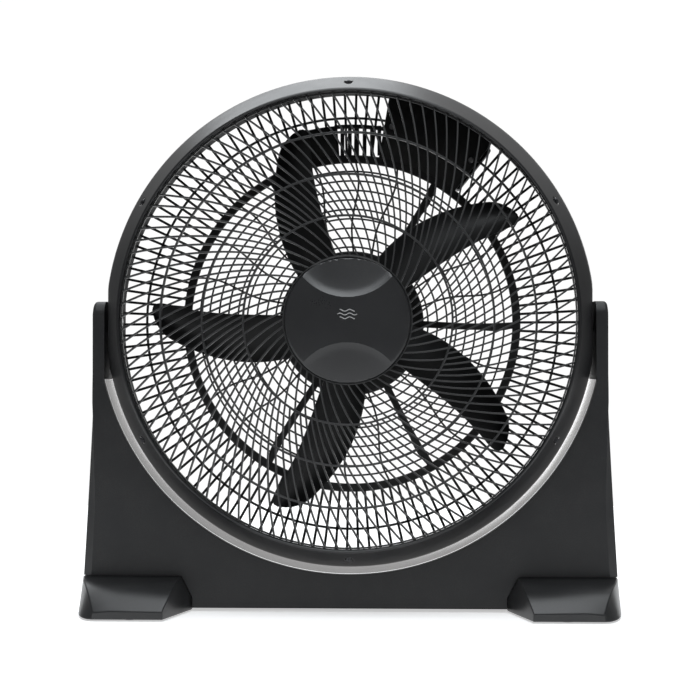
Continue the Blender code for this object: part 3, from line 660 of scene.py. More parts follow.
def rib_recipe():
    """Ribs set round the hub: straight, swirled, dished or bent, with a fixed width and depth."""
    tree, given = recipe("rib_wheel", {
        "Ribs": ("Int", 24), "Inner Radius": ("Float", 0.1), "Outer Radius": ("Float", 0.2),
        "Rim Radius": ("Float", 0.25), "Swirl": ("Float", 0.0), "Bend": ("Float", 0.0),
        "Waves": ("Float", 1.0),
        "Dome": ("Float", 0.0), "Rib Width": ("Float", 0.002), "Rib Depth": ("Float", 0.004),
        "Rounding": ("Float", 0.0003), "Start": ("Float", 0.0), "Span": ("Float", 2 * math.pi),
        "Stations": ("Int", 12), "Centre": ("Vector", (0.0, 0.0, 0.0)), "Finish": ("Material", None)})
    line = node(tree, "GeometryNodeCurvePrimitiveLine", {"End": (1.0, 0.0, 0.0)}).outputs[0]
    points = node(tree, "GeometryNodeResampleCurve", {0: line, "Count": given["Stations"]}).outputs[0]
    along = node(tree, "GeometryNodeSplineParameter").outputs["Factor"]
    reach = calc(tree, "SUBTRACT", given["Outer Radius"], given["Inner Radius"])
    radius = calc(tree, "MULTIPLY_ADD", along, reach, given["Inner Radius"])
    share = calc(tree, "DIVIDE", radius, given["Rim Radius"])
    swirl = calc(tree, "MULTIPLY", calc(tree, "LOGARITHM", share, math.e), given["Swirl"])
    wave = calc(tree, "SINE", calc(tree, "MULTIPLY", calc(tree, "MULTIPLY", along, math.pi), given["Waves"]))
    turn = calc(tree, "MULTIPLY_ADD", wave, given["Bend"], swirl)
    dish = calc(tree, "MULTIPLY", calc(tree, "SUBTRACT", 1.0, calc(tree, "POWER", share, 2.0)), given["Dome"])
    height = calc(tree, "SUBTRACT", dish, calc(tree, "MULTIPLY", given["Rib Depth"], 0.5))
    spot = node(tree, "ShaderNodeCombineXYZ", {
        0: calc(tree, "MULTIPLY", radius, calc(tree, "COSINE", turn)),
        1: calc(tree, "MULTIPLY", radius, calc(tree, "SINE", turn)), 2: height}).outputs[0]
    path = node(tree, "GeometryNodeSetPosition", {0: points, "Position": spot}).outputs[0]
    level = node(tree, "GeometryNodeSetCurveNormal", {0: path}, mode="Z_UP").outputs[0]
    section = node(tree, "GeometryNodeCurvePrimitiveQuadrilateral", {
        "Width": given["Rib Width"], "Height": given["Rib Depth"]}, mode="RECTANGLE").outputs[0]
    soft = node(tree, "GeometryNodeFilletCurve", {0: section, "Radius": given["Rounding"], "Count": 1},
                mode="POLY").outputs[0]
    rib = node(tree, "GeometryNodeCurveToMesh", {"Curve": level, "Profile Curve": soft,
                                                 "Fill Caps": True}).outputs[0]
    hubs = node(tree, "GeometryNodePoints", {"Count": given["Ribs"]}).outputs[0]
    number = node(tree, "GeometryNodeInputIndex").outputs[0]
    pitch = calc(tree, "DIVIDE", given["Span"], given["Ribs"])
    facing = node(tree, "ShaderNodeCombineXYZ", {
        2: calc(tree, "MULTIPLY_ADD", number, pitch, given["Start"])}).outputs[0]
    wheel = node(tree, "GeometryNodeInstanceOnPoints", {"Points": hubs, "Instance": rib,
                                                        "Rotation": facing}).outputs[0]
    upright = node(tree, "GeometryNodeTransform", {
        0: wheel, "Rotation": (math.pi / 2, 0.0, 0.0), "Translation": given["Centre"]}).outputs[0]
    return close_recipe(tree, upright, given["Finish"])


rib_wheel = rib_recipe()


def ribs(name, face_y, finish, **sizes):
    """A wheel of ribs whose front faces lie at a depth; sizes fill the recipe's inputs by name."""
    values = {label.replace("_", " ").title(): value for label, value in sizes.items()}
    values.update({"Centre": (hub.x, face_y, hub.z), "Finish": finish})
    values.setdefault("Rim Radius", values["Outer Radius"])
    return grown(name, rib_wheel, values)


def gathered(name, parts, finish):
    """Several shapes that are one moulding, as one piece."""
    form = bmesh.new()
    for part in parts:
        form.from_mesh(part.data)
        bpy.data.objects.remove(part)
    mesh = bpy.data.meshes.new(name)
    form.to_mesh(mesh)
    form.free()
    mesh.materials.clear()
    mesh.materials.append(finish)
    mesh.shade_smooth()
    mesh.set_sharp_from_angle(angle=math.radians(38.0))
    piece = bpy.data.objects.new(name, mesh)
    bpy.context.scene.collection.objects.link(piece)
    return piece


def hoop(radius, width, front, back, segments=180, form=None):
    """Profile-turned ring with softened edges, centred on a radius."""
    soft = min(width, back - front) * 0.22
    low, high = radius - width / 2, radius + width / 2
    profile = [(low, front + soft), (low + soft, front), (high - soft, front), (high, front + soft),
               (high, back - soft), (high - soft, back), (low + soft, back), (low, back - soft)]
    return turned(profile, segments, hub, form=form)


def ring_sector(inner, outer, start, stop, front, back, steps=24):
    """A flat block between two radii and two angles."""
    form = bmesh.new()
    rows = []
    for y in (front, back):
        loop = []
        for radius, first, last in ((outer, start, stop), (inner, stop, start)):
            for step in range(steps + 1):
                turn = first + (last - first) * step / steps
                spot = Vector((radius * math.cos(turn), y, radius * math.sin(turn)))
                loop.append(form.verts.new(hub + spot))
        rows.append(loop)
    stretch(form, *rows)
    form.faces.new(rows[0])
    form.faces.new(list(reversed(rows[1])))
    return form


def build_barrel():
    """Outer wall of the head behind the seam, with a rolled rear corner and a seam step."""
    collar = head_radius
    profile = [(collar - 0.0005, seam_y), (collar, seam_y + 0.0006), (collar, seam_y + 0.0046),
               (collar - 0.0006, seam_y + 0.0056), (collar - 0.0018, seam_y + 0.0064),
               (barrel_outside + 0.0006, seam_y + 0.0072), (barrel_outside, seam_y + 0.0086),
               (barrel_outside, 0.0580), (0.2710, 0.0625), (0.2707, 0.0650), (0.2703, 0.0657),
               (0.2698, 0.0660),
               (outer_ring, 0.0660), (outer_ring, 0.0622), (0.2693, 0.0600), (0.2696, 0.0540),
               (barrel_inside, 0.0400), (barrel_inside, seam_y)]
    return moulding("barrel_wall", turned(profile, 240, hub, shape=pressed), barrel_black)


def build_bosses():
    """Round bosses on the flats that the friction washers bear on."""
    form = bmesh.new()
    for side in (-1, 1):
        face = side * (flat_x - 0.3 * millimetre)
        tube = [(5.6 * millimetre, side * 0.2660), (9.2 * millimetre, side * 0.2660),
                (9.2 * millimetre, face), (8.8 * millimetre, side * flat_x),
                (6.0 * millimetre, side * flat_x), (5.6 * millimetre, face)]
        turned(tube, 48, hub, "X", form=form)
    return moulding("pivot_bosses", form, barrel_black)


def build_rear_guard():
    """Ribs, rings, spokes, motor plate, solid control corner and louvres of the rear moulding."""
    rings = bmesh.new()
    for radius in thin_rings:
        hoop(radius, 2.0 * millimetre, guard_front + 0.0004, guard_back - 0.0006, 120, rings)
    hoop(middle_ring, 2.6 * millimetre, guard_front + 0.0002, guard_back, 180, rings)
    hoop(sum(heavy_ring) / 2, heavy_ring[1] - heavy_ring[0], guard_front - 0.0008, guard_back + 0.0006, 180,
         rings)
    plate = [(0.0475, guard_front), (0.0490, guard_front - 0.0010), (0.0830, guard_front - 0.0010),
             (0.0850, guard_front), (0.0850, guard_back), (0.0475, guard_back)]
    turned(plate, 96, hub, form=rings)
    parts = [moulding("guard_rings", rings, guard_black)]
    lone = 360.0 / outer_ribs
    first = math.radians(0.25 + 28 * lone)
    kept = outer_ribs - round(math.degrees(corner_to - corner_from) / lone)
    parts.append(ribs("outer_ribs", guard_front, guard_black, ribs=kept, inner_radius=heavy_ring[1] - 0.001,
                      outer_radius=outer_ring + 0.00015, rib_width=0.0029, rib_depth=0.0038, stations=2,
                      start=first, span=kept * math.radians(lone)))
    parts.append(ribs("inner_ribs", guard_front + 0.0006, guard_black, ribs=24, inner_radius=0.0840,
                      outer_radius=heavy_ring[0] + 0.001, rib_width=0.0022, rib_depth=0.0032,
                      bend=math.radians(1.4), waves=2.0, stations=14, start=math.radians(-1.5)))
    parts.append(ribs("spokes", guard_front - 0.0010, guard_black, ribs=6, inner_radius=0.0840,
                      outer_radius=heavy_ring[0] + 0.001, rib_width=0.0078, rib_depth=0.0062,
                      rounding=0.0010, bend=math.radians(-0.8), waves=1.0, stations=16,
                      start=math.radians(-0.8)))
    parts.append(moulding("control_corner", ring_sector(
        heavy_ring[1] - 0.001, outer_ring + 0.001, corner_from, corner_to, guard_front - 0.0006,
        guard_back - 0.0003), guard_black, rounding=0.0008))
    parts.append(moulding("louvre_block", ring_sector(
        heavy_ring[1] - 0.001, 0.2335, math.radians(94.6), math.radians(104.5), guard_front - 0.0010,
        guard_back), guard_black, rounding=0.0008))
    parts.append(moulding("louvre_bar", ring_sector(
        0.2300, 0.2345, math.radians(80.0), math.radians(95.0), guard_front - 0.0010, guard_back),
        guard_black, rounding=0.0006))
    parts.append(build_louvres())
    return gathered("rear_guard", parts, guard_black)


def build_louvres():
    """Row of upright slats under the carrying bar."""
    tree, given = recipe("slat_row", {
        "Slats": ("Int", 6), "First": ("Vector", (0.0, 0.0, 0.0)), "Step": ("Vector", (0.01, 0.0, 0.0)),
        "Slat Size": ("Vector", (0.004, 0.004, 0.03)), "Finish": ("Material", None)})
    slat = node(tree, "GeometryNodeMeshCube", {"Size": given["Slat Size"]}).outputs[0]
    row = node(tree, "GeometryNodeMeshLine", {"Count": given["Slats"], "Start Location": given["First"],
                                              "Offset": given["Step"]}, mode="OFFSET").outputs[0]
    placed = node(tree, "GeometryNodeInstanceOnPoints", {"Points": row, "Instance": slat}).outputs[0]
    close_recipe(tree, placed, given["Finish"])
    first = hub + Vector((first_slat, (guard_front + guard_back) / 2, slat_height))
    return grown("slats", tree, {"Slats": 6, "First": first, "Step": (slat_pitch, 0.0, 0.0),
                                 "Slat Size": slat_size, "Finish": guard_black})


fitted(gathered("barrel", [build_barrel(), build_bosses()], barrel_black), "head", "guard", "rear_shell")
fitted(build_rear_guard(), "head", "guard", "rear_shell")


# ------------------------------------------------------------------ control box
# The real piece is the curved black housing screwed behind the solid corner. It holds the rotary
# switch and the motor's capacitor and carries the knob's scale and the gland of the mains lead.
box_low, box_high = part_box("control_box")
knob_low, knob_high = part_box("speed_knob")
knob_centre = (knob_low + knob_high) / 2
scale_paint = plastic("scale_paint", (0.55, 0.55, 0.54), 0.60, relief=0.05, wear=0.0, dust=0.05)


def build_control_box():
    front, back, wall = box_low.y, box_high.y, 2.2 * millimetre
    inner, outer = 201.0 * millimetre, 263.0 * millimetre
    start, stop = math.radians(51.0), math.radians(79.0)
    lid = moulding("control_lid", ring_sector(inner, outer, start, stop, front, back), guard_black,
                   sharp=25.0, rounding=3.0 * millimetre)
    slack = wall / outer
    room = moulding("control_room", ring_sector(inner + wall, outer - wall, start + slack, stop - slack,
                                                front - wall, back - wall), guard_black)
    return punched(lid, room)


def build_scale():
    """Raised figures 0 to 3 round the knob."""
    parts = []
    face = box_high.y + 0.15 * millimetre
    for number in range(4):
        turn = math.radians(90.0 + 45.0 * number)
        text = bpy.data.curves.new(f"figure_{number}", "FONT")
        text.body = str(number)
        text.size = 6.5 * millimetre
        text.extrude = 0.25 * millimetre
        text.align_x, text.align_y = "CENTER", "CENTER"
        figure = bpy.data.objects.new(f"figure_{number}", text)
        bpy.context.scene.collection.objects.link(figure)
        flat = settle(figure)
        spot = Vector((math.cos(turn), 0.0, math.sin(turn))) * 22.5 * millimetre
        upright = Matrix.Rotation(math.pi, 4, "Z") @ Matrix.Rotation(math.pi / 2, 4, "X")
        flat.data.transform(Matrix.Translation(Vector((knob_centre.x, face, knob_centre.z)) + spot) @ upright)
        parts.append(flat)
    return gathered("speed_figures", parts, scale_paint)


fitted(build_control_box(), "head", "guard", "control_box")
fitted(build_scale(), "head", "shell")
capacitor_case = plastic("capacitor_case", (0.22, 0.22, 0.23), 0.5, relief=0.05, wear=0.0)
painted("capacitor", capacitor_case)
painted("rotary_switch", black_rubber)


def build_gland():
    """Ribbed bush that the lead leaves through, shown empty."""
    low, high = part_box("cord_gland")
    middle = (low + high) / 2
    centre = Vector((middle.x, 0.0, middle.z))
    wide = (high.x - low.x) / 2
    profile = [(0.0036, 0.0840), (0.0058, 0.0840), (0.0058, box_high.y + 0.0003), (wide, box_high.y + 0.0003),
               (wide, 0.0890), (wide - 0.0006, 0.0900), (wide - 0.0018, 0.0905), (wide - 0.0022, 0.0912),
               (wide - 0.0016, 0.0918), (wide - 0.0022, 0.0926), (wide - 0.0030, 0.0934), (0.0042, high.y),
               (0.0036, high.y - 0.0005)]
    return moulding("lead_gland", turned(profile, 40, centre), black_rubber, sharp=35.0)


fitted(build_gland(), "head", "rubber", "cord_gland")
box_screws = ["box_screw_1", "box_screw_2"]
fitted(screws("control_box_screws", to_front, box_screws, 2.3 * millimetre, 3.6 * millimetre),
       "head", "steel", *box_screws)


# ------------------------------------------------------------------ speed knob
# The real piece is a round charcoal knob with a raised finger bar and a painted pointer,
# pressed on the switch's stem. It clicks from 0 to 3.
def build_knob():
    foot, tip = knob_low.y, knob_high.y
    wide = (knob_high.x - knob_low.x) / 2
    centre = Vector((knob_centre.x, 0.0, knob_centre.z))
    flute_depth, flutes = 0.35 * millimetre, 20

    def fluted(spot, radius):
        if radius > 11.5 * millimetre:
            turn = math.atan2(spot.z, spot.x)
            spot.x *= 1.0 - flute_depth * (0.5 - 0.5 * math.cos(flutes * turn)) / radius
            spot.z *= 1.0 - flute_depth * (0.5 - 0.5 * math.cos(flutes * turn)) / radius
        return spot

    profile = [(0.0, foot), (wide - 0.0004, foot), (wide, foot + 0.0012), (wide - 0.0003, foot + 0.0030),
               (wide - 0.0010, tip - 0.0052), (wide - 0.0022, tip - 0.0043), (wide - 0.0044, tip - 0.0040),
               (0.0, tip - 0.0040)]
    cap = moulding("knob_cap", turned(profile, 160, centre, shape=fluted), charcoal, sharp=40.0)
    grip = bmesh.new()
    bmesh.ops.create_cube(grip, size=1.0, matrix=Matrix.Translation(centre + Vector((0, tip - 0.0031, 0)))
                          @ Matrix.Diagonal((0.0044, 0.0060, 0.0258, 1.0)))
    bar = moulding("knob_bar", grip, charcoal, rounding=0.7 * millimetre)
    return gathered("knob", [cap, bar], charcoal)


def build_pointer():
    form = bmesh.new()
    centre = Vector((knob_centre.x, knob_high.y - 0.0001, knob_centre.z + 0.0075))
    bmesh.ops.create_cube(form, size=1.0, matrix=Matrix.Translation(centre)
                          @ Matrix.Diagonal((0.0010, 0.0004, 0.0080, 1.0)))
    return moulding("knob_pointer", form, scale_paint, rounding=0.1 * millimetre)


fitted(build_knob(), "knob", "shell", "speed_knob")
fitted(build_pointer(), "knob", "shell")
painted("switch_stem", turned_steel)


# ------------------------------------------------------------------ motor
# The real piece is a small capacitor-run motor: two cast aluminium bells with cooling fins round a
# stack of steel laminations and copper windings, bolted to the plate of the rear guard.
cast_alloy = metal("cast_alloy", (0.46, 0.46, 0.45), 0.55, across=(1.0, 1.0, 1.0), line=0.0012, relief=0.3)
lamination = metal("lamination", (0.34, 0.34, 0.35), 0.5, across=(0.02, 1.0, 0.02), line=0.0007, relief=0.4)
copper_wire = metal("copper_wire", (0.50, 0.22, 0.10), 0.42, across=(1.0, 1.0, 1.0), line=0.0010, relief=0.5)
bronze_bush = metal("bronze_bush", (0.42, 0.30, 0.15), 0.45, across=(1.0, 1.0, 1.0), line=0.0008)


def build_front_bell():
    low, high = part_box("motor_front_bell")
    wide = (high.x - low.x) / 2
    front, back = low.y, high.y
    profile = [(0.0082, front), (0.0140, front), (0.0160, front + 0.0012), (0.0390, front + 0.0012),
               (0.0420, front + 0.0020), (0.0445, front + 0.0040), (wide, front + 0.0070), (wide, back),
               (0.0430, back), (0.0430, 0.0275), (0.0120, 0.0240), (0.0120, 0.0300), (0.0082, 0.0300)]
    shell = moulding("front_bell", turned(profile, 96, hub), cast_alloy)
    fins = ribs("front_fins", front + 0.0002, cast_alloy, ribs=18, inner_radius=0.0165, outer_radius=0.0405,
                rib_width=0.0018, rib_depth=0.0012, rounding=0.0003, stations=2)
    return gathered("front_motor_bell", [shell, fins], cast_alloy)


def build_rear_bell():
    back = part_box("motor_rear_bell")[1].y
    plate = guard_front - 0.3 * millimetre
    profile = [(0.0082, 0.0735), (0.0120, 0.0735), (0.0120, 0.0780), (0.0430, 0.0755), (0.0430, 0.0579),
               (0.0640, 0.0579), (0.0640, plate), (0.0470, plate), (0.0470, back - 0.0055),
               (0.0462, back - 0.0030), (0.0440, back - 0.0012), (0.0405, back - 0.0004),
               (0.0300, back - 0.0010), (0.0140, back - 0.0010), (0.0125, back), (0.0082, back)]
    shell = moulding("rear_bell", turned(profile, 96, hub), cast_alloy)
    fins = ribs("rear_fins", back - 0.0018, cast_alloy, ribs=18, inner_radius=0.0150, outer_radius=0.0395,
                rib_width=0.0020, rib_depth=0.0016, rounding=0.0003, stations=2)
    return gathered("rear_motor_bell", [shell, fins], cast_alloy)


fitted(build_front_bell(), "head", "alloy", "motor_front_bell")
fitted(build_rear_bell(), "head", "alloy", "motor_rear_bell")
for part, finish in (("stator", lamination), ("winding_front", copper_wire), ("winding_rear", copper_wire),
                     ("bearing_front", bronze_bush), ("bearing_rear", bronze_bush)):
    painted(part, finish)
motor_screws = [f"motor_screw_{number}" for number in (1, 2, 3, 4)]
fitted(screws("motor_fixing_screws", to_front, motor_screws, 2.7 * millimetre, 3.6 * millimetre),
       "head", "steel", *motor_screws)


# ------------------------------------------------------------------ impeller and shaft
# The real piece is one glossy black moulding of five broad twisted blades round a cup-shaped hub.
# Each blade's leading edge is nearly radial and its trailing edge sweeps out towards the hub.
# It is clamped on the steel shaft by a nut with a left-hand thread.
blade_black = plastic("blade_black", (0.0082, 0.0084, 0.0090), 0.42, grain=0.0012, relief=0.03, wear=0.0,
                      dust=0.05, gloss=0.32)
blades = 5
blade_low, blade_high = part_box("impeller")
tip_radius = 223.5 * millimetre
hub_radius = 56.0 * millimetre
blade_turn = math.radians(33.0)
tip_line = 0.28                           # where the rounded tip is centred between the two edges


def blade_spot(radius, across, narrow):
    """Middle surface of a blade: across runs from the leading edge to the trailing one."""
    along = (radius - hub_radius) / (tip_radius - hub_radius)
    leading, trailing = -3.3 + 2.6 * math.sin(math.pi * along), 37.9 - 33.2 * along
    across = tip_line + (across - tip_line) * narrow
    turn = math.radians(leading + (trailing - leading) * across)
    pitch = (30.0 - 12.0 * along) * millimetre
    camber = 6.0 * millimetre * math.sin(math.pi * across)
    y = -5.0 * millimetre - pitch / 2 + pitch * across - camber
    return Vector((radius * math.cos(turn), y, radius * math.sin(turn)))


def build_blade(number):
    form = bmesh.new()
    rows, wide, long = [], 14, 30
    tip_round = 17.0 * millimetre
    for row in range(long + 1):
        radius = hub_radius - 0.002 + (tip_radius - hub_radius + 0.002) * (1.0 - (1.0 - row / long) ** 1.35)
        past = max(0.0, (radius - tip_radius + tip_round) / tip_round)
        narrow = max(0.10, math.sqrt(max(0.0, 1.0 - past ** 2.4)))
        rows.append([form.verts.new(blade_spot(radius, column / wide, narrow)) for column in range(wide + 1)])
    for near, far in zip(rows, rows[1:]):
        for column in range(wide):
            form.faces.new((near[column], far[column], far[column + 1], near[column + 1]))
    spin = Matrix.Rotation(-(blade_turn + 2 * math.pi * number / blades), 4, "Y")
    form.transform(Matrix.Translation(hub) @ spin)
    mesh = bpy.data.meshes.new("blade")
    form.to_mesh(mesh)
    form.free()
    mesh.materials.append(blade_black)
    mesh.shade_smooth()
    piece = bpy.data.objects.new("blade", mesh)
    bpy.context.scene.collection.objects.link(piece)
    wall = piece.modifiers.new("wall", "SOLIDIFY")
    wall.thickness = 2.2 * millimetre
    wall.offset = 0.0
    edges = piece.modifiers.new("edges", "BEVEL")
    edges.width = 0.8 * millimetre
    edges.segments = 2
    edges.limit_method = "ANGLE"
    edges.angle_limit = math.radians(40.0)
    return settle(piece)


def build_hub():
    front, back = blade_low.y, blade_high.y
    bore = 4.3 * millimetre
    profile = [(bore, front), (0.0380, front), (0.0440, front + 0.0006), (0.0500, front + 0.0022),
               (0.0540, front + 0.0048), (hub_radius, front + 0.0085), (hub_radius, back - 0.0006),
               (hub_radius - 0.0006, back), (hub_radius - 0.0028, back),
               (hub_radius - 0.0028, front + 0.0090),
               (0.0380, front + 0.0030), (0.0110, front + 0.0030), (0.0110, 0.0050), (bore, 0.0050)]
    return moulding("impeller_hub", turned(profile, 128, hub), blade_black)


impeller = gathered("fan_blades", [build_hub()] + [build_blade(number) for number in range(blades)],
                    blade_black)
fitted(impeller, "rotor", "blade", "impeller")


def build_blade_nut():
    low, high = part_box("blade_nut")
    wide = (high.x - low.x) / 2
    front, back = low.y, high.y

    def winged(spot, radius):
        if radius > 8.0 * millimetre:
            turn = math.atan2(spot.z, spot.x)
            ease = 1.0 - 0.07 * (0.5 - 0.5 * math.cos(16 * turn))
            return Vector((spot.x * ease, spot.y, spot.z * ease))
        return spot

    profile = [(0.0, front), (0.0050, front + 0.0003), (0.0088, front + 0.0013), (0.0112, front + 0.0036),
               (wide - 0.0004, front + 0.0064), (wide, front + 0.0080), (wide, back), (0.0043, back),
               (0.0043, -0.0425), (0.0, -0.0425)]
    return moulding("blade_locking_nut", turned(profile, 96, hub, shape=winged), blade_black)


fitted(build_blade_nut(), "rotor", "blade", "blade_nut")
painted("shaft", turned_steel)
painted("rotor_core", cast_alloy)


# ------------------------------------------------------------------ front ring
# The real piece is the charcoal ABS bezel that snaps over the barrel. It tapers from the widest
# line to a rounded crest round the opening, and six D-shaped recesses in it take the screws.
ring_low, ring_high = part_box("front_ring")
ring_front = ring_low.y
opening = 249.5 * millimetre
ring_inside = 271.5 * millimetre          # inner wall where the ring fits over the barrel
screw_pitch = 262.5 * millimetre
ring_gloss = plastic("ring_charcoal", (0.0100, 0.0104, 0.0114), 0.33, grain=0.0005, relief=0.08, gloss=0.36)


def build_front_ring():
    seam = ring_high.y
    outside = [(head_radius, seam), (head_radius - 0.0006, seam - 0.0008),
               (head_radius - 0.0002, seam - 0.0018),
               (0.2752, -0.0200), (0.2743, -0.0250), (0.2734, -0.0300), (0.2719, -0.0350),
               (0.2700, -0.0395), (0.2655, -0.0495), (0.2607, -0.0600), (0.2566, -0.0687), (0.2545, -0.0732)]
    crest = [(0.2536, -0.0751), (0.2529, -0.0764), (0.2521, -0.0772), (0.2513, ring_front),
             (0.2505, -0.0772), (0.2499, -0.0765), (opening, -0.0755), (opening, -0.0700)]
    inside = [(0.2570, -0.0600), (0.2652, -0.0420), (ring_inside, -0.0240), (ring_inside, seam)]
    ring = moulding("bezel", turned(outside + crest + inside, 288, hub, shape=pressed), ring_gloss)
    wide, tall, deep = 4.6 * millimetre, 2.4 * millimetre, 0.0400
    cuts = bmesh.new()
    for place in range(6):
        turn = math.radians(30.0 + 60.0 * place)
        centre = hub + Vector((screw_pitch * math.cos(turn), 0.0, screw_pitch * math.sin(turn)))
        outward = Vector((math.cos(turn), 0.0, math.sin(turn)))
        around = Vector((-outward.z, 0.0, outward.x))
        outline = [centre + around * wide + outward * tall, centre - around * wide + outward * tall]
        for step in range(11):
            bend = math.pi * (1.0 - step / 10)
            outline.append(centre + around * wide * math.cos(bend)
                           - outward * tall * (2.0 * math.sin(bend) - 0.6))
        rows = [[cuts.verts.new(spot + Vector((0.0, y, 0.0))) for spot in outline] for y in (-0.0800, -deep)]
        stretch(cuts, *rows)
        cuts.faces.new(rows[0])
        cuts.faces.new(list(reversed(rows[1])))
    return punched(ring, moulding("screw_recesses", cuts, ring_gloss))


fitted(build_front_ring(), "head", "shell", "front_ring")
ring_screws = [f"ring_screw_{number}" for number in range(1, 7)]
black_screw = metal("black_screw", (0.08, 0.08, 0.085), 0.42, across=(1.0, 1.0, 1.0), line=0.0009)
fitted(screws("bezel_screws", to_front, ring_screws, 2.0 * millimetre, 3.4 * millimetre, black_screw),
       "head", "steel", *ring_screws)


# ------------------------------------------------------------------ front guard
# The real piece is a shallow dome moulded in one: 55 long and 55 short thin ribs that swirl out
# along a spiral, three fine rings, a rim that snaps into the front ring and a seat for the badge.
grille_black = plastic("grille_black", (0.0250, 0.0255, 0.0265), 0.40, grain=0.0004, wear=0.0, dust=0.10)
rim_radius = opening - 0.3 * millimetre
dome_base, dome_rise = -74.0 * millimetre, 18.0 * millimetre
badge_radius = 68.0 * millimetre
fine_rings = (204.4 * millimetre, 158.4 * millimetre, 113.2 * millimetre)
rib_pairs = 55
swirl = 0.54
swirl_start = math.radians(2.49)
rib_wide, rib_deep = 1.9 * millimetre, 6.2 * millimetre


def dome_y(radius):
    """Front surface of the guard at a radius."""
    return dome_base - dome_rise * (1.0 - (radius / opening) ** 2)


def build_front_guard():
    shared = dict(rim_radius=opening, swirl=swirl, dome=dome_rise, rib_width=rib_wide, rib_depth=rib_deep,
                  rounding=0.45 * millimetre, ribs=rib_pairs)
    outer = rim_radius - 0.4 * millimetre
    long_ribs = ribs("long_ribs", dome_base, grille_black, inner_radius=badge_radius + 0.0010,
                     outer_radius=outer, stations=18, start=swirl_start, **shared)
    short_ribs = ribs("short_ribs", dome_base, grille_black, inner_radius=fine_rings[2],
                      outer_radius=outer, stations=14, start=swirl_start + math.pi / rib_pairs, **shared)
    rings = bmesh.new()
    for radius in fine_rings:
        hoop(radius, 2.1 * millimetre, dome_y(radius) - 0.15 * millimetre, dome_y(radius) + 0.0062, 200,
             rings)
    rim = [(rim_radius - 0.0014, dome_base + 0.0028), (rim_radius, dome_base + 0.0028),
           (rim_radius, dome_base + 0.0075), (rim_radius - 0.0014, dome_base + 0.0075)]
    turned(rim, 240, hub, form=rings)
    lip = badge_radius + 0.3 * millimetre
    top = dome_y(lip)
    seat = [(0.0560, -0.0862), (lip, -0.0862), (lip, top), (lip + 0.0016, top), (lip + 0.0020, top + 0.0006),
            (lip + 0.0020, top + 0.0075), (0.0560, top + 0.0075)]
    turned(seat, 128, hub, form=rings)
    round_parts = moulding("guard_rounds", rings, grille_black)
    return gathered("front_guard", [long_ribs, short_ribs, round_parts], grille_black)


fitted(build_front_guard(), "head", "guard", "front_grille")


# ------------------------------------------------------------------ hub badge
# The real piece is a satin domed cap pressed on the guard's seat, with a shallow scoop above and
# below. The mark on it here is a plain one of three wind lines, in place of any maker's.
badge_satin = plastic("badge_satin", (0.0180, 0.0184, 0.0198), 0.29, grain=0.0007, relief=0.05, dust=0.06)
mark_grey = plastic("mark_grey", (0.36, 0.36, 0.36), 0.45, relief=0.04, wear=0.0, dust=0.04)
badge_low, badge_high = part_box("hub_badge")
scoop_radius, scoop_distance = 63.3 * millimetre, 87.7 * millimetre


def badge_y(radius):
    """Front surface of the badge at a radius."""
    return badge_low.y + 4.6 * millimetre * (radius / badge_radius) ** 2.2


def scoop_form(side, deep, form):
    """Cutter that sinks below the dome inside a circle and meets it exactly along that circle."""
    centre = hub + Vector((0.0, 0.0, side * scoop_distance))
    floor = -1.0
    profile = [(scoop_radius * step / 14, floor) for step in range(15)]
    profile += [(scoop_radius, badge_low.y - 0.004), (0.0, badge_low.y - 0.004)]

    def sunk(spot, radius):
        if spot.y > floor + 0.1:
            return spot
        place = spot + centre - hub
        away = min(math.hypot(place.x, place.z), badge_radius * 1.06)
        dip = deep * (1.0 - (radius / scoop_radius) ** 2) ** 0.6
        return Vector((spot.x, badge_y(away) + dip + 0.00002, spot.z))

    turned(profile, 160, centre, shape=sunk, form=form)


def build_badge():
    profile = [(0.0, badge_low.y)]
    for step in range(1, 25):
        radius = (badge_radius - 1.6 * millimetre) * step / 24
        profile.append((radius, badge_y(radius)))
    edge = badge_y(badge_radius)
    profile += [(badge_radius - 0.0008, edge + 0.0004), (badge_radius - 0.0002, edge + 0.0012),
                (badge_radius, edge + 0.0022), (badge_radius, badge_high.y), (0.0, badge_high.y)]
    badge = moulding("badge_cap", turned(profile, 192, hub), badge_satin)
    tools = bmesh.new()
    for side, deep in ((1, 5.8 * millimetre), (-1, 3.0 * millimetre)):
        scoop_form(side, deep, tools)
    return punched(badge, moulding("scoops", tools, badge_satin, sharp=20.0))


def build_mark():
    """Three rolling wind lines, each a thin rounded bead that follows the badge's dome."""
    lines = bpy.data.curves.new("wind_lines", "CURVE")
    lines.dimensions = "3D"
    lines.bevel_depth = 0.6 * millimetre
    lines.bevel_resolution = 3
    lines.use_fill_caps = True
    for row, half in ((1, 8.0), (0, 10.5), (-1, 8.0)):
        path = lines.splines.new("POLY")
        path.points.add(40)
        for step, point in enumerate(path.points):
            x = half * (step / 20 - 1.0) * millimetre
            z = (6.0 + row * 4.0 + 1.0 * math.sin(2 * math.pi * x / (10.5 * millimetre))) * millimetre
            y = badge_y(math.hypot(x, z)) + 0.35 * millimetre
            point.co = (hub.x + x, y, hub.z + z, 1.0)
    curve = bpy.data.objects.new("wind_mark", lines)
    bpy.context.scene.collection.objects.link(curve)
    return gathered("wind_mark", [settle(curve)], mark_grey)


fitted(build_badge(), "head", "shell", "hub_badge")
fitted(build_mark(), "head", "shell")


